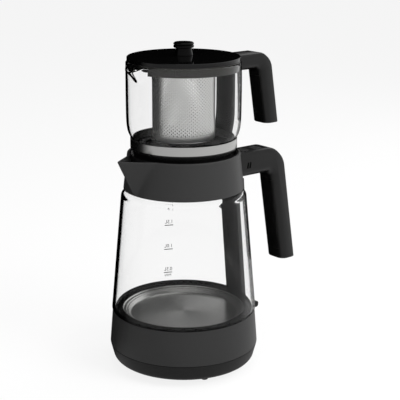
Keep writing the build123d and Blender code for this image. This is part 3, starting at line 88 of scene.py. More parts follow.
def flags(tree, place):
    """What gloss mirrors in a direction: the walls and flags, and a ceiling above the flags."""
    split = add_node(tree, "SeparateXYZ", {0: place})
    azimuth = add_node(tree, "Math", {0: split.outputs["Y"], 1: split.outputs["X"]}, operation="ARCTAN2")
    around = add_node(tree, "MapRange", {"Value": azimuth.outputs[0], "From Min": -pi, "From Max": pi})
    walls = add_node(tree, "ValToRGB", {0: around.outputs[0]})
    for stop, (turn, level) in enumerate(wall_levels):
        if stop > 1:
            walls.color_ramp.elements.new((turn + 180) / 360)
        walls.color_ramp.elements[stop].position = (turn + 180) / 360
        walls.color_ramp.elements[stop].color = (level, level, level, 1)
    above = add_node(tree, "MapRange", {"Value": split.outputs["Z"], "From Min": ceiling_start,
                                        "From Max": ceiling_full})
    side = add_node(tree, "MapRange", {"Value": azimuth.outputs[0], "From Min": radians(ceiling_dark_turn),
                                       "From Max": radians(ceiling_bright_turn)})
    ceiling = add_node(tree, "Math", {0: above.outputs[0], 1: side.outputs[0]}, operation="MULTIPLY")
    return add_node(tree, "Mix", {0: 1.0, 6: walls.outputs[0], 7: ceiling.outputs[0]}, data_type="RGBA",
                    blend_type="LIGHTEN").outputs[2]


def sight(tree):
    """Two switches: rays straight from the lens or through glass, and rays that gloss has turned."""
    rays = add_node(tree, "LightPath")
    straight = add_node(tree, "Math", {0: rays.outputs["Is Camera Ray"],
                                       1: rays.outputs["Is Transmission Ray"]}, operation="MAXIMUM")
    turned_back = add_node(tree, "Math", {0: rays.outputs["Glossy Depth"], 1: 0.5},
                           operation="GREATER_THAN")
    seen = add_node(tree, "Math", {0: straight.outputs[0], 1: turned_back.outputs[0]}, operation="SUBTRACT",
                    use_clamp=True)
    return seen.outputs[0], turned_back.outputs[0]


fill_strength = 0.42
world = bpy.data.worlds.new("studio")
world.use_nodes = True
bpy.context.scene.world = world
studio = world.node_tree
seen, turned_back = sight(studio)
reflected = flags(studio, add_node(studio, "TexCoord").outputs["Generated"])
fill = add_node(studio, "Background", {"Color": (1, 1, 1, 1), "Strength": fill_strength})
walls = add_node(studio, "Background", {"Color": reflected, "Strength": 1.0})
surround = add_node(studio, "MixShader", {0: turned_back, 1: fill.outputs[0], 2: walls.outputs[0]})
backdrop = add_node(studio, "Background", {"Color": (1, 1, 1, 1), "Strength": 1.0})
studio.links.new(
    add_node(studio, "MixShader", {0: seen, 1: surround.outputs[0], 2: backdrop.outputs[0]}).outputs[0],
    studio.nodes["World Output"].inputs[0])


pots_middle = Vector((0, 0, 170)) * MM


def lamp(name, azimuth, elevation, distance, side, watts):
    """A square soft lamp that looks at the middle of the pots from an azimuth and elevation."""
    way = Vector((cos(radians(azimuth)) * cos(radians(elevation)),
                  sin(radians(azimuth)) * cos(radians(elevation)), sin(radians(elevation))))
    data = bpy.data.lights.new(name, "AREA")
    data.size = side
    data.energy = watts
    made = bpy.data.objects.new(name, data)
    made.location = pots_middle + way * distance
    made.rotation_euler = way.to_track_quat("Z", "Y").to_euler()
    made.visible_glossy = False
    made.visible_transmission = False
    bpy.context.scene.collection.objects.link(made)


lamp("key_softbox", azimuth=-68, elevation=38, distance=1.6, side=0.9, watts=20)
lamp("top_softbox", azimuth=-100, elevation=80, distance=1.4, side=0.8, watts=8)
lamp("side_strip", azimuth=0, elevation=25, distance=1.5, side=0.7, watts=6)


def new_material(name):
    """A material with its node tree and its principled shader."""
    made = bpy.data.materials.new(name)
    made.use_nodes = True
    return made, made.node_tree, made.node_tree.nodes["Principled BSDF"]


# White paper, matt: nearly all of it shows as plain white, and the rest keeps a faint shadow.
paper_glow_share = 0.85
sweep_half_side = 12
paper, tree, shader = new_material("white_paper_sweep")
tree.nodes.remove(shader)
matt = add_node(tree, "BsdfDiffuse", {"Color": linear("#f4f4f4")})
glow = add_node(tree, "Emission", {"Color": (1, 1, 1, 1), "Strength": 1.0})
seen, turned_back = sight(tree)
lift = add_node(tree, "Math", {0: seen, 1: paper_glow_share}, operation="MULTIPLY")
lit = add_node(tree, "MixShader", {0: lift.outputs[0], 1: matt.outputs[0], 2: glow.outputs[0]})
mirrored = add_node(tree, "Emission", {"Color": flags(tree, add_node(tree, "TexCoord").outputs["Object"])})
mixed = add_node(tree, "MixShader", {0: turned_back, 1: lit.outputs[0], 2: mirrored.outputs[0]})
tree.links.new(mixed.outputs[0], tree.nodes["Material Output"].inputs[0])
sweep = bmesh.new()
bmesh.ops.create_grid(sweep, x_segments=1, y_segments=1, size=sweep_half_side)
sweep_mesh = bpy.data.meshes.new("paper_sweep")
sweep.to_mesh(sweep_mesh)
sweep_mesh.materials.append(paper)
floor = bpy.data.objects.new("paper_sweep", sweep_mesh)
bpy.context.scene.collection.objects.link(floor)


# ---------------------------------------------------------------------------------------------
# Power base: a round shell of black polypropylene, moulded in one piece with a rounded bend low
# down.  A plate closes it from below, and it stands on four rubber feet.
# ---------------------------------------------------------------------------------------------
tone_patch = 55.6          # size of the broad patches that differ a little in tone


def moulded(name, shade, worn_shade, grain, relief, roughness, gloss=0.33):
    """Moulded plastic, rubber or fired enamel: a fine grain, and a broad faint change of tone."""
    made, tree, shader = new_material(name)
    place = add_node(tree, "TexCoord").outputs["Object"]
    broad = add_node(tree, "TexNoise", {"Vector": place, "Scale": 1 / (tone_patch * MM), "Detail": 2.0})
    tone = add_node(tree, "Mix", {0: broad.outputs[0], 6: linear(shade), 7: linear(worn_shade)},
                    data_type="RGBA")
    tree.links.new(tone.outputs[2], shader.inputs["Base Color"])
    grit = add_node(tree, "TexNoise", {"Vector": place, "Scale": 1 / (grain * MM), "Detail": 3.0})
    bump = add_node(tree, "Bump", {"Height": grit.outputs[0], "Strength": 0.6, "Distance": relief * MM})
    tree.links.new(bump.outputs[0], shader.inputs["Normal"])
    shader.inputs["Roughness"].default_value = roughness
    shader.inputs["Specular IOR Level"].default_value = gloss
    return made


def dress(material, *nodes):
    """Give a material to nodes that keep their own mesh."""
    for node in nodes:
        data = bpy.data.objects[node].data
        data.materials.clear()
        data.materials.append(material)


def span(*nodes):
    """Lowest and highest corners, in millimetres, of the box round some nodes."""
    corners = [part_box(node) for node in nodes]
    lowest = [min(corner[0][axis] for corner in corners) / MM for axis in range(3)]
    highest = [max(corner[1][axis] for corner in corners) / MM for axis in range(3)]
    return Vector(lowest), Vector(highest)


def rounded_loop(corners, steps):
    """A closed wire in the handles' plane; a corner is (reach, height, length cut back to round it)."""
    loop = bmesh.new()
    points = [loop.verts.new((reach * MM, 0, height * MM)) for reach, height, _ in corners]
    for pair in zip(points, points[1:] + points[:1]):
        loop.edges.new(pair)
    for point, (_, _, cut_back) in zip(points, corners):
        if cut_back:
            bmesh.ops.bevel(loop, geom=[point], offset=cut_back * MM, offset_type="OFFSET", segments=steps,
                            profile=0.5, affect="VERTICES", material=-1)
    return loop


def turned(corners, turns=144, steps=6):
    """A closed section turned about the vertical axis."""
    made = rounded_loop(corners, steps)
    bmesh.ops.spin(made, geom=made.verts[:] + made.edges[:], cent=(0, 0, 0), axis=(0, 0, 1), angle=2 * pi,
                   steps=turns, use_merge=True)
    bmesh.ops.remove_doubles(made, verts=made.verts[:], dist=0.001 * MM)
    bmesh.ops.delete(made, geom=[edge for edge in made.edges if edge.is_wire], context="EDGES")
    bmesh.ops.recalc_face_normals(made, faces=made.faces[:])
    return made


def finished(made, name, body, slot, material, *nodes, crease=32):
    """Turn a mesh into a piece that rides on its body and stands for its nodes."""
    mesh = bpy.data.meshes.new(name)
    made.to_mesh(mesh)
    made.free()
    mesh.materials.append(material)
    mesh.shade_smooth()
    mesh.set_sharp_from_angle(angle=radians(crease))
    piece = bpy.data.objects.new(name, mesh)
    bpy.context.scene.collection.objects.link(piece)
    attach(piece, body)
    if nodes:
        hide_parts(*nodes)
    return piece


# Polypropylene from a spark-eroded mould: black, matt, with hardly any highlight.
base_plastic = moulded("spark_eroded_black_polypropylene", "#121212", "#171717", grain=0.9, relief=0.03,
                       roughness=0.50, gloss=0.24)
# Moulded rubber: a dull dark grey that takes the light evenly.
foot_rubber = moulded("moulded_black_rubber", "#1c1c1c", "#262626", grain=0.5, relief=0.04, roughness=0.8)
shell_low, shell_high = span("power_base_shell")
shell_wall = 2.4
opening_radius = 61.1
bore_radius = 24.05
underside_radius = 61.8
bend_radius, bend_height, bend_cut = 74.0, 8.0, 3.57
deck_round = 0.5
side_wall_share = 1.2      # the side leans, so level across it the wall is thicker
bend_wall_share = 0.8
finished(turned([
    (opening_radius, shell_low.z, 0), (underside_radius, shell_low.z, 0),
    (bend_radius, bend_height, bend_cut), (shell_high.x, shell_high.z, deck_round),
    (bore_radius, shell_high.z, 0), (bore_radius, shell_high.z - shell_wall, 0),
    (shell_high.x - side_wall_share * shell_wall, shell_high.z - shell_wall, 0),
    (bend_radius - bend_wall_share * shell_wall, bend_height + shell_wall, 0),
    (opening_radius, shell_low.z + shell_wall, 0),
], turns=180), "power_base_body", "power_base", "shell_plastic", base_plastic, "power_base_shell")
dress(base_plastic, "power_base_cover")
dress(foot_rubber, "base_feet", "cord_gland")

# Glass-filled nylon, moulded: a warm dark grey, duller than the shell.
connector_nylon = moulded("moulded_glass_filled_nylon", "#2e2c2a", "#38362f", grain=0.6, relief=0.02,
                          roughness=0.6)
dress(connector_nylon, "base_connector", "connector_socket")


def plated(name, shade, roughest, crystal=1.11):
    """Plated steel: a bright metal whose gloss changes from crystal to crystal, drawn coarse to show."""
    made, tree, shader = new_material(name)
    place = add_node(tree, "TexCoord").outputs["Object"]
    speckle = add_node(tree, "TexNoise", {"Vector": place, "Scale": 1 / (crystal * MM), "Detail": 2.0})
    rough = add_node(tree, "MapRange", {"Value": speckle.outputs[0], "To Min": 0.25, "To Max": roughest})
    tree.links.new(rough.outputs[0], shader.inputs["Roughness"])
    shader.inputs["Base Color"].default_value = linear(shade)
    shader.inputs["Metallic"].default_value = 1.0
    return made


# Zinc plate gives the hidden screws a pale sparkle; black oxide lets the handles' screws vanish.
zinc_steel = plated("zinc_plated_steel", "#b8b8b4", roughest=0.45)
black_steel = plated("black_oxide_steel", "#2c2c2c", roughest=0.55)
dress(zinc_steel, "power_base_screws", "base_screws", "lever_pin", "lid_screw")
dress(black_steel, "handle_screws", "teapot_handle_screws")


# ---------------------------------------------------------------------------------------------
# Kettle base: a ring of the same plastic that draws in to the glass, with a ledge for the seal
# and the heater, and a window at the back for the boil lever.  Screws hold its floor.
# ---------------------------------------------------------------------------------------------
def slab(corners, width, steps=12):
    """An outline in the handles' plane, extruded to both sides of it."""
    made = rounded_loop(corners, steps)
    bmesh.ops.contextual_create(made, geom=made.edges[:])
    bmesh.ops.translate(made, verts=made.verts[:], vec=(0, -width / 2 * MM, 0))
    raised = bmesh.ops.extrude_face_region(made, geom=made.faces[:])
    moved = [item for item in raised["geom"] if isinstance(item, bmesh.types.BMVert)]
    bmesh.ops.translate(made, verts=moved, vec=(0, width * MM, 0))
    bmesh.ops.recalc_face_normals(made, faces=made.faces[:])
    return made


def carved(body, tool, operation="DIFFERENCE"):
    """A mesh after a solid cut, join or overlap with another."""
    objects = []
    for role, source in (("body", body), ("tool", tool)):
        mesh = bpy.data.meshes.new(role)
        source.to_mesh(mesh)
        source.free()
        objects.append(bpy.data.objects.new(role, mesh))
        bpy.context.scene.collection.objects.link(objects[-1])
    cutter = objects[0].modifiers.new("cut", "BOOLEAN")
    cutter.object = objects[1]
    cutter.operation = operation
    cutter.solver = "EXACT"
    made = bmesh.new()
    made.from_object(objects[0], bpy.context.evaluated_depsgraph_get())
    for item in objects:
        mesh = item.data
        bpy.data.objects.remove(item)
        bpy.data.meshes.remove(mesh)
    bmesh.ops.remove_doubles(made, verts=made.verts[:], dist=0.001 * MM)
    return made


# The upper shell is painted a shade lighter than the power base, painted light that stands in for the lower
# shell facing down and taking less light; it is also smoother, so the parting from the power base shows.
kettle_base_painted_lighter = moulded("satin_polypropylene_painted_lighter", "#262626", "#2c2c2c", grain=0.9, relief=0.03,
                        roughness=0.46)
kettle_low, kettle_high = span("kettle_base_shell")
rim_radius = 75.3
base_wall = 2.4
ledge_radius = 66.6
ledge_top_drop, ledge_under_drop = 1.6, 4.0
foot_edge_round, rim_edge_round, ledge_edge_round = 0.5, 0.9, 0.3
window_low, window_high = 37.4, 48.4
window_width = 26.0
window_reach = 90.0        # past the shell's outside
kettle_base = turned([
    (kettle_high.x, kettle_low.z, foot_edge_round), (rim_radius, kettle_high.z, rim_edge_round),
    (rim_radius - base_wall, kettle_high.z, ledge_edge_round),
    (rim_radius - base_wall, kettle_high.z - ledge_top_drop, 0),
    (ledge_radius, kettle_high.z - ledge_top_drop, 0), (ledge_radius, kettle_high.z - ledge_under_drop, 0),
    (rim_radius - base_wall, kettle_high.z - ledge_under_drop, 0),
    (kettle_high.x - base_wall, kettle_low.z, 0),
], turns=180)
kettle_base = carved(kettle_base, slab([
    (ledge_radius, window_low, 0), (window_reach, window_low, 0), (window_reach, window_high, 0),
    (ledge_radius, window_high, 0),
], window_width))
finished(kettle_base, "kettle_base_body", "kettle", "kettle_plastic", kettle_base_painted_lighter, "kettle_base_shell")
dress(base_plastic, "kettle_base_floor", "switch_lever")


# ---------------------------------------------------------------------------------------------
# Heater: a stepped plate pressed from stainless steel, with an aluminium disc and the tubular
# element brazed under it, and the boil and dry-boil switches beside them.
# ---------------------------------------------------------------------------------------------
def spun(name, shade, dark_shade, streak, roughness, lean):
    """Metal brushed on a turntable: fine streaks that run round the vertical axis."""
    made, tree, shader = new_material(name)
    place = add_node(tree, "TexCoord").outputs["Object"]
    split = add_node(tree, "SeparateXYZ", {0: place})
    flat = add_node(tree, "CombineXYZ", {0: split.outputs[0], 1: split.outputs[1]})
    radius = add_node(tree, "VectorMath", {0: flat.outputs[0]}, operation="LENGTH")
    line = add_node(tree, "CombineXYZ", {1: radius.outputs["Value"], 2: split.outputs[2]})
    streaks = add_node(tree, "TexNoise", {"Vector": line.outputs[0], "Scale": 1 / (streak * MM),
                                          "Detail": 3.0})
    tone = add_node(tree, "Mix", {0: streaks.outputs[0], 6: linear(dark_shade), 7: linear(shade)},
                    data_type="RGBA")
    tree.links.new(tone.outputs[2], shader.inputs["Base Color"])
    bump = add_node(tree, "Bump", {"Height": streaks.outputs[0], "Strength": 0.25, "Distance": 0.05 * MM})
    tree.links.new(bump.outputs[0], shader.inputs["Normal"])
    grain = add_node(tree, "Tangent", direction_type="RADIAL", axis="Z")
    tree.links.new(grain.outputs[0], shader.inputs["Tangent"])
    shader.inputs["Metallic"].default_value = 1.0
    shader.inputs["Roughness"].default_value = roughness
    shader.inputs["Anisotropic"].default_value = lean
    return made


# Brushed stainless steel: soft wedges of light that fan out from the plate's middle.
plate_steel = spun("brushed_stainless_steel", "#dcdcda", "#b0b0ae", streak=0.8, roughness=0.27, lean=0.6)
# Cast aluminium is paler and duller, and the element's steel is browned by heat.
aluminium = spun("die_cast_aluminium", "#b4b4b2", "#a0a09e", streak=2.0, roughness=0.5, lean=0.0)
element_steel = spun("heat_tinted_steel", "#8a7c6c", "#6c645c", streak=1.5, roughness=0.4, lean=0.0)
# Natural nylon: the cream of uncoloured switch bodies.
pale_nylon = moulded("moulded_natural_nylon", "#cfcbbd", "#d8d4c6", grain=0.6, relief=0.02, roughness=0.5)
dress(plate_steel, "heater_plate")
dress(aluminium, "heat_spreader")
dress(element_steel, "heater_element")
dress(pale_nylon, "thermostat", "switch_block", "tact_switches")
# Moulded silicone: deep black, smooth enough for one soft highlight.
seal_rubber = moulded("moulded_black_silicone", "#070707", "#0b0b0b", grain=0.8, relief=0.01, roughness=0.20,
                      gloss=0.12)
dress(seal_rubber, "lower_seal", "upper_seal")

# ---------------------------------------------------------------------------------------------
# Kettle glass: borosilicate, blown in a mould, clear, with its outline painted dark (a painted
# shade where it is seen edge on), and with the level marks fired on its back wall.
# ---------------------------------------------------------------------------------------------
glass_ior = 1.47
uncoated_share = 0.7       # share of the glass that only bends light and mirrors nothing


def blown(name, painted_edge_dark, start, end):
    """Borosilicate glass, whose colour is painted dark where it is seen edge on (painted shade), and which
    lets the lamps through.
    """
    made, tree, shader = new_material(name)
    edge = add_node(tree, "LayerWeight", {"Blend": 0.5})
    # Painted shade: the colour runs from near white to dark as the surface turns edge on.
    painted_outline_ramp = add_node(tree, "ValToRGB", {0: edge.outputs["Facing"]})
    painted_outline_ramp.color_ramp.elements[0].position = start
    painted_outline_ramp.color_ramp.elements[0].color = linear("#fdfdfd")
    painted_outline_ramp.color_ramp.elements[1].position = end
    painted_outline_ramp.color_ramp.elements[1].color = linear(painted_edge_dark)
    tree.links.new(painted_outline_ramp.outputs[0], shader.inputs["Base Color"])
    shader.inputs["Roughness"].default_value = 0.0
    shader.inputs["IOR"].default_value = glass_ior
    shader.inputs["Transmission Weight"].default_value = 1.0
    bent = add_node(tree, "BsdfRefraction", {"Color": painted_outline_ramp.outputs[0], "Roughness": 0.0, "IOR": glass_ior})
    coated = add_node(tree, "MixShader", {0: uncoated_share, 1: shader.outputs[0], 2: bent.outputs[0]})
    rays = add_node(tree, "LightPath")
    passing = add_node(tree, "Math", {0: rays.outputs["Is Shadow Ray"], 1: rays.outputs["Is Diffuse Ray"]},
                       operation="MAXIMUM")
    open_air = add_node(tree, "BsdfTransparent", {"Color": linear("#f8f8f8")})
    mixed = add_node(tree, "MixShader", {0: passing.outputs[0], 1: coated.outputs[0], 2: open_air.outputs[0]})
    tree.links.new(mixed.outputs[0], tree.nodes["Material Output"].inputs[0])
    return made


# The kettle glass's outline is painted shade: its colour turns dark where it is seen edge on.
kettle_clear = blown("blown_borosilicate_glass", "#0c0c0c", start=0.80, end=0.92)
dress(kettle_clear, "kettle_glass")
glass_foot, glass_foot_radius = 62.1, 76.0
glass_taper, glass_height = 11.0, 121.6
glass_lean = glass_taper / glass_height
glass_shoulder = 183.7


def kettle_side(height):
    """Radius of the kettle glass's outside."""
    return glass_foot_radius - (height - glass_foot) * glass_lean


# Enamel fired on the glass: an even, slightly raised cool grey.
fired_enamel = moulded("fired_grey_enamel", "#3c3e40", "#46484a", grain=0.6, relief=0.01, roughness=0.5)
mark_turn = 65.0
mark_proud = 0.15
enamel_half_thickness = 0.05
tick_length, tick_height = 10.0, 0.9
longest_straight = 3       # longer edges are divided, so that they bend with the glass
marks = bmesh.new()
for label, height, letter_size, letter_rise in (
        ("MAX", 160.0, 4.4, 2.0), ("1.5L", 130.3, 5.8, 2.2), ("1.0L", 101.6, 5.8, 2.2),
        ("0.5L", 73.5, 5.8, 2.2), ("MIN", 73.5, 4.4, -4.8)):
    text = bpy.data.curves.new("mark", "FONT")
    text.body = label
    text.size = letter_size
    text.align_x = "CENTER"
    text.extrude = enamel_half_thickness
    holder = bpy.data.objects.new("mark", text)
    bpy.context.scene.collection.objects.link(holder)
    mesh = bpy.data.meshes.new_from_object(holder.evaluated_get(bpy.context.evaluated_depsgraph_get()))
    lettering = bmesh.new()
    lettering.from_mesh(mesh)
    bmesh.ops.translate(lettering, verts=lettering.verts[:], vec=(0, letter_rise, 0))
    if letter_rise > 0:
        tick = bmesh.ops.create_cube(lettering, size=1.0)["verts"]
        bmesh.ops.scale(lettering, verts=tick, vec=(tick_length, tick_height, 2 * enamel_half_thickness))
    bmesh.ops.scale(lettering, verts=lettering.verts[:], vec=(MM, MM, MM))
    long_edges = [edge for edge in lettering.edges if edge.calc_length() > longest_straight * MM]
    bmesh.ops.subdivide_edges(lettering, edges=long_edges, cuts=4)
    reach = kettle_side(height) + mark_proud
    for point in lettering.verts:
        across, up, out = point.co / MM
        turn = radians(mark_turn) + across / reach
        level = height + up
        out_radius = kettle_side(level) + mark_proud + out
        point.co = Vector((out_radius * cos(turn), out_radius * sin(turn), level)) * MM
    lettering.to_mesh(mesh)
    marks.from_mesh(mesh)
    lettering.free()
    bpy.data.objects.remove(holder)
    bpy.data.curves.remove(text)
    bpy.data.meshes.remove(mesh)
bmesh.ops.recalc_face_normals(marks, faces=marks.faces[:])
finished(marks, "level_marks", "kettle", "clear_glass", fired_enamel)

# ---------------------------------------------------------------------------------------------
# Collar: a tapered ring of satin plastic, moulded with a keeled spout that is pulled out on the
# pot's left.  It is bonded round the neck of the glass and carries the handle.
# ---------------------------------------------------------------------------------------------
collar_low, collar_high = 192.1, 229.5
collar_foot_radius, collar_rim_radius = 62.3, 58.0
collar_foot_wall, collar_wall_gain = 1.8, 0.6
collar_rim_round, collar_bore_round = 1.3, 0.9
spout_reach = 83.7
spout_rise = 1.2
spout_spread = 0.7085
spout_wall = 2.0
keel_foot_radius = 63.1
# A lighter satin than the base: the collar catches the key lamp evenly.
collar_plastic = moulded("satin_black_polypropylene", "#2a2a2a", "#303030", grain=0.9, relief=0.03,
                         roughness=0.42)


def soft_max(one, other, blend):
    """The larger of two lengths, blended where they meet."""
    return (one + other + hypot(one - other, blend)) / 2


def pull_beak(made, low, high, outer, inner, keel_foot, reach, spread, wall, nose, blend, rise, dip=0.0,
              dip_width=1.0):
    """Draw the walls of a turned piece out on the -X side to a keeled beak that rises or dips at its rim."""
    setback = wall * hypot(1, spread) / spread
    for point in made.verts:
        x, y, z = point.co / MM
        radius = hypot(x, y)
        share = min(1.0, (z - low) / (high - low))
        off_keel = abs(atan2(y, -x))
        if share < 0 or off_keel > pi / 3:
            continue
        outside = outer(z)
        inside = inner(z)
        if radius < inside - 0.1:
            continue
        apex = keel_foot + (reach - keel_foot) * share
        away = (hypot(sin(off_keel), nose) + spread * cos(off_keel)) / (nose + spread)
        new_outside = soft_max(outside, apex / away, blend)
        new_inside = soft_max(inside, (apex - setback) / away, blend)
        part = (radius - inside) / (outside - inside)
        new_radius = new_inside + part * (new_outside - new_inside)
        stretch = new_radius / radius
        lift = rise * max(0.0, new_radius - outside) / (reach - outer(high)) * share ** 3
        lift -= dip * share * max(0.0, 1 - (y * stretch / dip_width) ** 2)
        point.co = Vector((x * stretch, y * stretch, z + lift)) * MM


def collar_outside(height):
    """Radius of the collar's outside."""
    share = (height - collar_low) / (collar_high - collar_low)
    return collar_foot_radius + (collar_rim_radius - collar_foot_radius) * share


def collar_inside(height):
    """Radius of the collar's bore."""
    share = (height - collar_low) / (collar_high - collar_low)
    return collar_outside(height) - collar_foot_wall - collar_wall_gain * share


collar_levels = [collar_low + (collar_high - collar_low) * step / 24 for step in range(24)]
collar = turned([
    *[(collar_outside(height), height, 0) for height in collar_levels],
    (collar_rim_radius, collar_high, collar_rim_round),
    (collar_inside(collar_high), collar_high, collar_bore_round),
    *[(collar_inside(height), height, 0) for height in reversed(collar_levels)],
], turns=360)
pull_beak(collar, collar_low, collar_high, collar_outside, collar_inside, keel_foot=keel_foot_radius,
          reach=spout_reach, spread=spout_spread, wall=spout_wall, nose=0.02, blend=0.8, rise=spout_rise)
bmesh.ops.recalc_face_normals(collar, faces=collar.faces[:])
finished(collar, "collar_body", "kettle", "kettle_plastic", collar_plastic, "collar")

# ---------------------------------------------------------------------------------------------
# Seat ring: a dished ring of polished ABS that snaps into the collar's mouth.  The teapot stands
# in it.
# ---------------------------------------------------------------------------------------------
# ABS from a polished mould: black, with sharp thin highlights on its edges.
gloss_plastic = moulded("polished_black_abs", "#121212", "#181818", grain=3.0, relief=0.004, roughness=0.12)
dress(gloss_plastic, "seat_ring")

# ---------------------------------------------------------------------------------------------
# Duct: a channel of black polypropylene, clipped up the back of the glass, that hides the wires
# to the handle.
# ---------------------------------------------------------------------------------------------
# The mould's smoother finish gives the duct long soft highlights down its rounded edges.
duct_plastic = moulded("gloss_black_polypropylene", "#101010", "#161616", grain=1.6, relief=0.01,
                       roughness=0.25)
# Extruded sleeving: the brick red of silicone-covered wire.
wire_sleeving = moulded("extruded_wire_sleeving", "#8a3a2a", "#9a4636", grain=0.6, relief=0.01, roughness=0.5)
duct_low, duct_high = span("duct")
duct_depth = 8.3
duct_gap = 0.15
duct_round = 2.5
duct_root = 14.0           # how far the blank reaches into the glass before it is cut to it
duct_edge_start = 5        # edges that stand off the glass by more than this are rounded
glass_core_drop, glass_core_draw, glass_core_top = 20, 6, 200
duct = slab([
    (kettle_side(duct_low.z) - duct_root, duct_low.z, 0),
    (kettle_side(duct_low.z) + duct_depth, duct_low.z, 0),
    (kettle_side(duct_high.z) + duct_depth, duct_high.z, 0),
    (kettle_side(duct_high.z) - duct_root, duct_high.z, 0),
], 2 * duct_high.y)
outer_edges = [edge for edge in duct.edges
               if all(vert.co.x / MM > kettle_side(vert.co.z / MM) + duct_edge_start for vert in edge.verts)
               and min(vert.co.z for vert in edge.verts) < duct_low.z * MM + MM]
bmesh.ops.bevel(duct, geom=outer_edges, offset=duct_round * MM, offset_type="OFFSET", segments=6,
                profile=0.5, affect="EDGES", material=-1)
duct = carved(duct, turned([
    (0, duct_low.z - glass_core_drop, 0),
    (kettle_side(glass_foot) + duct_gap, duct_low.z - glass_core_drop, 0),
    (kettle_side(glass_foot) + duct_gap, glass_foot, 0),
    (kettle_side(glass_shoulder) + duct_gap, glass_shoulder, 0),
    (kettle_side(glass_shoulder) - glass_core_draw, glass_core_top, 0), (0, glass_core_top, 0),
], turns=256))
finished(duct, "duct_body", "kettle", "shell_plastic", duct_plastic, "duct")
dress(wire_sleeving, "wire_loom")

# ---------------------------------------------------------------------------------------------
# Kettle handle: a hooked satin shell, flat outside and round to the hand, screwed to the collar.
# A screwed strip closes the grip's inner face and a cap its end, and a gloss panel with two keys
# is let into the arm.
# ---------------------------------------------------------------------------------------------
# ABS from a finely eroded mould: nearly black, with a narrow soft sheen along the edges.
grip_plastic = moulded("satin_black_abs", "#0b0b0b", "#101010", grain=0.9, relief=0.02, roughness=0.30)
cap_plastic = moulded("cap_black_abs", "#121212", "#161616", grain=0.9, relief=0.02, roughness=0.30)
grip_lean = radians(9.5)


def handle_body(root, top, under, reach, thickness, width, end, outer_cut, inner_cut, flat_edge, palm_round):
    """The whole handle: outline, flat bands along its outer edges, large rounds towards the hand."""
    half = thickness / 2 / cos(grip_lean)

    def centre(height):
        return reach + (under - height) * tan(grip_lean)

    made = slab([
        (root, top, 0), (centre(top) + half, top, outer_cut), (centre(end) + half, end, 0),
        (centre(end) - half, end, 0), (centre(under) - half, under, inner_cut), (root, under, 0),
    ], width, steps=20)
    side_edges = [edge for edge in made.edges if edge.verts[0].co.y * edge.verts[1].co.y > 0
                  and min(vert.co.z for vert in edge.verts) > (end - 1) * MM
                  and max(vert.co.x for vert in edge.verts) > (root + 0.1) * MM
                  and max(vert.co.z for vert in edge.verts) > (end + 0.1) * MM]
    for palm_side, size, steps in ((True, palm_round, 9), (False, flat_edge, 2)):
        picked = []
        for edge in side_edges:
            if not edge.is_valid:
                continue
            wall = [face.normal for face in edge.link_faces if abs(face.normal.y) < 0.5][0]
            if (wall.x < -0.2 or wall.z < -0.2) == palm_side:
                picked.append(edge)
        bmesh.ops.bevel(made, geom=picked, offset=size * MM, offset_type="OFFSET", segments=steps,
                        profile=0.5, affect="EDGES", material=-1)
    return made


def strip_tool(handle, strip, slack=0.0, lead=3):
    """A bar along the grip's inner face, as deep and wide as the strip, with a lead in front of the face."""
    face = [handle["reach"] + (handle["under"] - level) * tan(grip_lean)
            - handle["thickness"] / 2 / cos(grip_lean) for level in (strip["low"], strip["high"])]
    depth = strip["depth"] + slack
    low, high = strip["low"] - slack, strip["high"] + slack
    return slab([
        (face[0] - lead, low, 0), (face[0] + depth, low, 0),
        (face[1] + depth, high, 0), (face[1] - lead, high, 0),
    ], strip["width"] + 2 * slack)


def bar(low, high):
    """A plain bar between two corners in millimetres, for cutting."""
    made = bmesh.new()
    bmesh.ops.create_cube(made, size=MM)
    bmesh.ops.scale(made, verts=made.verts[:], vec=Vector(high) - Vector(low))
    bmesh.ops.translate(made, verts=made.verts[:], vec=(Vector(high) + Vector(low)) / 2 * MM)
    return made


tip_near, tip_far, tip_side, tip_low = 100, 170, 20, 80


def grip_tip(top):
    """A block round the end of the kettle's grip, up to a height."""
    return bar((tip_near, -tip_side, tip_low), (tip_far, tip_side, top))


def round_end(made, end, size=1.2):
    """Round the edges of a grip's end face."""
    rim = [edge for edge in made.edges if max(vert.co.z for vert in edge.verts) < (end + 0.01) * MM]
    bmesh.ops.bevel(made, geom=rim, offset=size * MM, offset_type="OFFSET", segments=4, profile=0.5,
                    affect="EDGES", material=-1)


kettle_handle = dict(root=56.0, top=219.7, under=191.7, reach=124.0, thickness=20.0, width=27.0, end=88.0,
                     outer_cut=22.9, inner_cut=5.9, flat_edge=3.8, palm_round=8.5)
kettle_strip = dict(low=100.0, high=180.7, depth=2.4, width=17.0)
cap_line = 91.0
seam = 0.25
core_low, core_high = 180.0, 240.0
collar_overlap = 0.3
collar_core = turned([
    (0, core_low, 0), (collar_outside(core_low) - collar_overlap, core_low, 0),
    (collar_outside(core_high) - collar_overlap, core_high, 0), (0, core_high, 0),
])
grip = carved(handle_body(**kettle_handle), collar_core)
end_cap = carved(handle_body(**kettle_handle), grip_tip(cap_line - seam), "INTERSECT")
round_end(end_cap, kettle_handle["end"])
finished(end_cap, "grip_end_cap", "kettle", "kettle_plastic", cap_plastic, "handle_end_cap")
grip = carved(grip, grip_tip(cap_line))
grip = carved(grip, strip_tool(kettle_handle, kettle_strip, seam))
strip = carved(carved(handle_body(**kettle_handle), grip_tip(cap_line)),
               strip_tool(kettle_handle, kettle_strip), "INTERSECT")
finished(strip, "grip_strip", "kettle", "kettle_plastic", grip_plastic, "handle_cover")

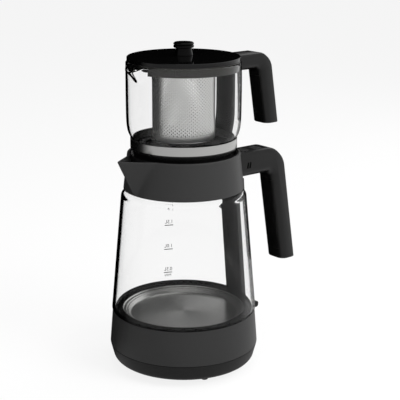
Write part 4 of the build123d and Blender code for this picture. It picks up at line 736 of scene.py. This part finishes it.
panel_low, panel_high = span("control_panel")
panel_headroom = 3         # the recess is open at the top
grip = carved(grip, bar(panel_low - Vector((seam, seam, seam)),
                        panel_high + Vector((seam, seam, panel_headroom))))
slit_width, slit_low, slit_high, slit_slant = 2.0, 201.4, 208.0, 1.2
slit_depth = 4.0
for slit_reach in (77.4, 80.6):
    slit = slab([
        (slit_reach - slit_width / 2 - slit_slant / 2, slit_low, 0),
        (slit_reach + slit_width / 2 - slit_slant / 2, slit_low, 0),
        (slit_reach + slit_width / 2 + slit_slant / 2, slit_high, 0),
        (slit_reach - slit_width / 2 + slit_slant / 2, slit_high, 0),
    ], 2 * slit_depth)
    bmesh.ops.translate(slit, verts=slit.verts[:], vec=(0, -kettle_handle["width"] / 2 * MM, 0))
    grip = carved(grip, slit)
finished(grip, "grip_shell", "kettle", "kettle_plastic", grip_plastic, "handle_shell")
# The panel is polished and mirrors a little; its keys are satin, so they stand out from it.
panel_gloss = moulded("polished_panel_abs", "#121212", "#181818", grain=3.0, relief=0.004, roughness=0.16)
key_plastic = moulded("satin_key_abs", "#1a1a1a", "#202020", grain=1.2, relief=0.01, roughness=0.25)
dress(panel_gloss, "control_panel")
dress(key_plastic, "boil_button", "tea_button")
# Glass-epoxy laminate: the green of solder resist.
board = moulded("glass_epoxy_laminate", "#2c5a34", "#336640", grain=0.6, relief=0.01, roughness=0.4)
dress(board, "control_board")

# ---------------------------------------------------------------------------------------------
# Teapot foot: a ring of polished ABS that the glass is bonded into, under a rolled steel band.
# ---------------------------------------------------------------------------------------------
# Rolled stainless steel: a bright band whose light runs round it in broad soft bars.
band_steel = spun("rolled_stainless_band", "#d0d0ce", "#c0c0be", streak=0.6, roughness=0.22, lean=0.4)
dress(gloss_plastic, "teapot_base_ring")
dress(band_steel, "teapot_band")

# ---------------------------------------------------------------------------------------------
# Teapot glass: blown borosilicate with a bulge over the band, and a lip pulled out of its rim
# while it was hot.
# ---------------------------------------------------------------------------------------------
# The teapot glass's outline is painted shade too: its colour turns dark where it is seen edge on.
pot_glass = blown("blown_teapot_glass", "#0c0c0c", start=0.86, end=0.96)
pot_wall = 2.4
pot_low, pot_high = span("teapot_glass")
pot_foot, pot_rim = pot_low.z, pot_high.z
pot_cup_radius, pot_belly_radius, pot_rim_radius = 53.4, 58.7, 58.3
cup_round, pot_rim_round = 3.3, 1.0
bulge_start = 245.2
bulge_length = 6.0
belly_height = 290.3
lip_height = 18.0


def pot_side(height):
    """Radius of the teapot glass's outside above the band."""
    bulge = 1 - exp(-(height - bulge_start) / bulge_length)
    rim_draw = max(0.0, (height - belly_height) / (pot_rim - belly_height)) ** 2
    return (pot_cup_radius + (pot_belly_radius - pot_cup_radius) * bulge
            - (pot_belly_radius - pot_rim_radius) * rim_draw)


pot_levels = [bulge_start + (pot_rim - bulge_start) * (step / 40) ** 1.5 for step in range(1, 40)]
teapot_glass = turned([
    (0, pot_foot, 0), (pot_cup_radius, pot_foot, cup_round), (pot_cup_radius, bulge_start, 0),
    *[(pot_side(height), height, 0) for height in pot_levels],
    (pot_rim_radius, pot_rim, pot_rim_round), (pot_rim_radius - pot_wall, pot_rim, pot_rim_round),
    *[(pot_side(height) - pot_wall, height, 0) for height in reversed(pot_levels)],
    (pot_cup_radius - pot_wall, bulge_start, 0), (pot_cup_radius - pot_wall, pot_foot + pot_wall, cup_round),
    (0, pot_foot + pot_wall, 0),
], turns=300)
pull_beak(teapot_glass, pot_rim - lip_height, pot_rim, pot_side, lambda height: pot_side(height) - pot_wall,
          keel_foot=56.0, reach=71.0, spread=0.95, wall=1.8, nose=0.10, blend=2.0, rise=0.0, dip=4.0,
          dip_width=13.3)
bmesh.ops.recalc_face_normals(teapot_glass, faces=teapot_glass.faces[:])
finished(teapot_glass, "teapot_glass_body", "teapot", "clear_glass", pot_glass, "teapot_glass")

# ---------------------------------------------------------------------------------------------
# Teapot handle: a strap clamped to the band behind, and a hooked grip like the kettle's, both
# moulded in black.
# ---------------------------------------------------------------------------------------------
teapot_handle = dict(root=54.0, top=323.8, under=306.3, reach=103.5, thickness=18.0, width=24.0, end=246.3,
                     outer_cut=16.9, inner_cut=4.2, flat_edge=3.4, palm_round=7.6)
teapot_strip = dict(low=256.3, high=298.3, depth=2.4, width=14.0)
band_radius = 54.6
glass_gap = 0.1
pot_core_low, pot_core_high = 236.4, 330.0
strap_low, strap_high = span("teapot_strap")
strap_root = 50.0          # inside the glass, before the strap is cut to it
strap_foot_reach, strap_bend_height = 58.6, 259.2
strap_foot_round, strap_bend_round, strap_edge_round = 1.0, 6.0, 2.5
strap_edge_start = 58      # edges further out than this are rounded


def pot_core():
    """The solid that the band and the glass bound, for cutting what lies against them."""
    return turned([
        (0, pot_core_low, 0), (band_radius + glass_gap, pot_core_low, 0),
        (band_radius + glass_gap, bulge_start, 0),
        *[(pot_side(height) + glass_gap, height, 0) for height in pot_levels],
        (pot_rim_radius + glass_gap, pot_core_high, 0), (0, pot_core_high, 0),
    ], turns=200)


pot_grip = carved(handle_body(**teapot_handle), pot_core())
pot_grip = carved(pot_grip, strip_tool(teapot_handle, teapot_strip, seam))
round_end(pot_grip, teapot_handle["end"])
finished(pot_grip, "teapot_grip_shell", "teapot", "kettle_plastic", grip_plastic, "teapot_handle_shell")
pot_strip = carved(handle_body(**teapot_handle), strip_tool(teapot_handle, teapot_strip), "INTERSECT")
finished(pot_strip, "teapot_grip_strip", "teapot", "kettle_plastic", grip_plastic, "teapot_handle_cover")

strap = slab([
    (strap_root, strap_low.z, 0), (strap_foot_reach, strap_low.z, strap_foot_round),
    (strap_high.x, strap_bend_height, strap_bend_round), (strap_high.x, strap_high.z, 0),
    (strap_root, strap_high.z, 0),
], 2 * strap_high.y)
outer_edges = [edge for edge in strap.edges if edge.verts[0].co.y * edge.verts[1].co.y > 0
               and min(edge.verts[0].co.x, edge.verts[1].co.x) > strap_edge_start * MM]
bmesh.ops.bevel(strap, geom=outer_edges, offset=strap_edge_round * MM, offset_type="OFFSET", segments=6,
                profile=0.5, affect="EDGES", material=-1)
strap = carved(strap, pot_core())
finished(strap, "teapot_strap_body", "teapot", "shell_plastic", duct_plastic, "teapot_strap")

# ---------------------------------------------------------------------------------------------
# Strainer: a steel ring that hangs in the glass's rim, and a basket of perforated steel sheet,
# rolled and welded to a drawn floor and a flanged rim.
# ---------------------------------------------------------------------------------------------
# Satin steel that mirrors the black flags, with its colour painted dark grey as a painted dark reflection: it
# reads as a dark grey band with lighter ends.
ring_steel_painted_dark = spun("satin_steel_painted_dark", "#4e4e4c", "#444442", streak=0.6, roughness=0.30, lean=0.3)
dress(ring_steel_painted_dark, "strainer_ring")

# Perforated stainless sheet: pale and even, with dark dots where the holes are.  The real holes
# are too fine to show, so they are punched coarser.
basket_steel = spun("perforated_stainless_sheet", "#f8f8f6", "#e8e8e6", streak=0.6, roughness=0.30, lean=0.0)
basket_low, basket_high = span("strainer_basket")
basket_radius = 32.0
sheet = 0.5
hole_pitch = 2.0
hole_radius = 1.0
hole_corner = 0.35
holes_low, holes_high = 250.0, 312.0
columns = 2 * round(pi * basket_radius / hole_pitch)
rows = round((holes_high - holes_low) / (hole_pitch * cos(pi / 6)))
column_step = 2 * pi * basket_radius / columns
row_step = (holes_high - holes_low) / rows
wall = bmesh.new()
bmesh.ops.create_grid(wall, x_segments=columns, y_segments=rows, size=0.5)
bmesh.ops.scale(wall, verts=wall.verts[:], vec=(columns * column_step * MM, rows * row_step * MM, 1))
punched = [point for point in wall.verts if not point.is_boundary
           and (round(point.co.x / column_step / MM) + round(point.co.y / row_step / MM)) % 2 == 0]
holes = bmesh.ops.bevel(wall, geom=punched, offset=hole_radius * MM, offset_type="OFFSET", segments=1,
                        profile=0.5, affect="VERTICES", material=-1)
corners = {point for face in holes["faces"] for point in face.verts}
bmesh.ops.bevel(wall, geom=list(corners), offset=hole_corner * MM, offset_type="OFFSET", segments=1,
                profile=0.5, affect="VERTICES", material=-1)
bmesh.ops.delete(wall, geom=[face for face in wall.faces if len(face.verts) == 8], context="FACES")
for point in wall.verts:
    turn = point.co.x / MM / basket_radius
    level = (holes_low + holes_high) / 2 + point.co.y / MM
    point.co = Vector((basket_radius * cos(turn), basket_radius * sin(turn), level)) * MM
bmesh.ops.remove_doubles(wall, verts=wall.verts[:], dist=0.001 * MM)
bmesh.ops.recalc_face_normals(wall, faces=wall.faces[:])
bmesh.ops.solidify(wall, geom=wall.faces[:], thickness=sheet * MM)
finished(wall, "strainer_wall", "strainer", "perforated_steel", basket_steel)
floor_round, floor_inner_round = 1.6, 1.2
basket_floor = turned([
    (0, basket_low.z, 0), (basket_radius, basket_low.z, floor_round), (basket_radius, holes_low, 0),
    (basket_radius - sheet, holes_low, 0), (basket_radius - sheet, basket_low.z + sheet, floor_inner_round),
    (0, basket_low.z + sheet, 0),
])
finished(basket_floor, "strainer_floor", "strainer", "perforated_steel", basket_steel, "strainer_basket")
flange = 0.6
flange_round, throat_round = 0.3, 0.6
basket_rim = turned([
    (basket_radius, holes_high, 0), (basket_radius, basket_high.z - flange, flange_round),
    (basket_high.x, basket_high.z - flange, 0), (basket_high.x, basket_high.z, 0),
    (basket_radius - sheet, basket_high.z, throat_round), (basket_radius - sheet, holes_high, 0),
])
finished(basket_rim, "strainer_rim", "strainer", "perforated_steel", basket_steel)

# ---------------------------------------------------------------------------------------------
# Lid: a shallow domed disc of polished ABS with a turned knob, screwed from below, and a guide
# ring welded under it.
# ---------------------------------------------------------------------------------------------
# Polished ABS, the deepest black here: it mirrors the flags.  The knob's phenolic is duller.
lid_plastic = moulded("polished_lid_abs", "#040404", "#060606", grain=3.0, relief=0.004, roughness=0.08)
knob_plastic = moulded("turned_black_phenolic", "#040404", "#060606", grain=3.0, relief=0.004,
                       roughness=0.10, gloss=0.10)
dress(lid_plastic, "lid")
dress(knob_plastic, "lid_knob")
dress(grip_plastic, "lid_guide")
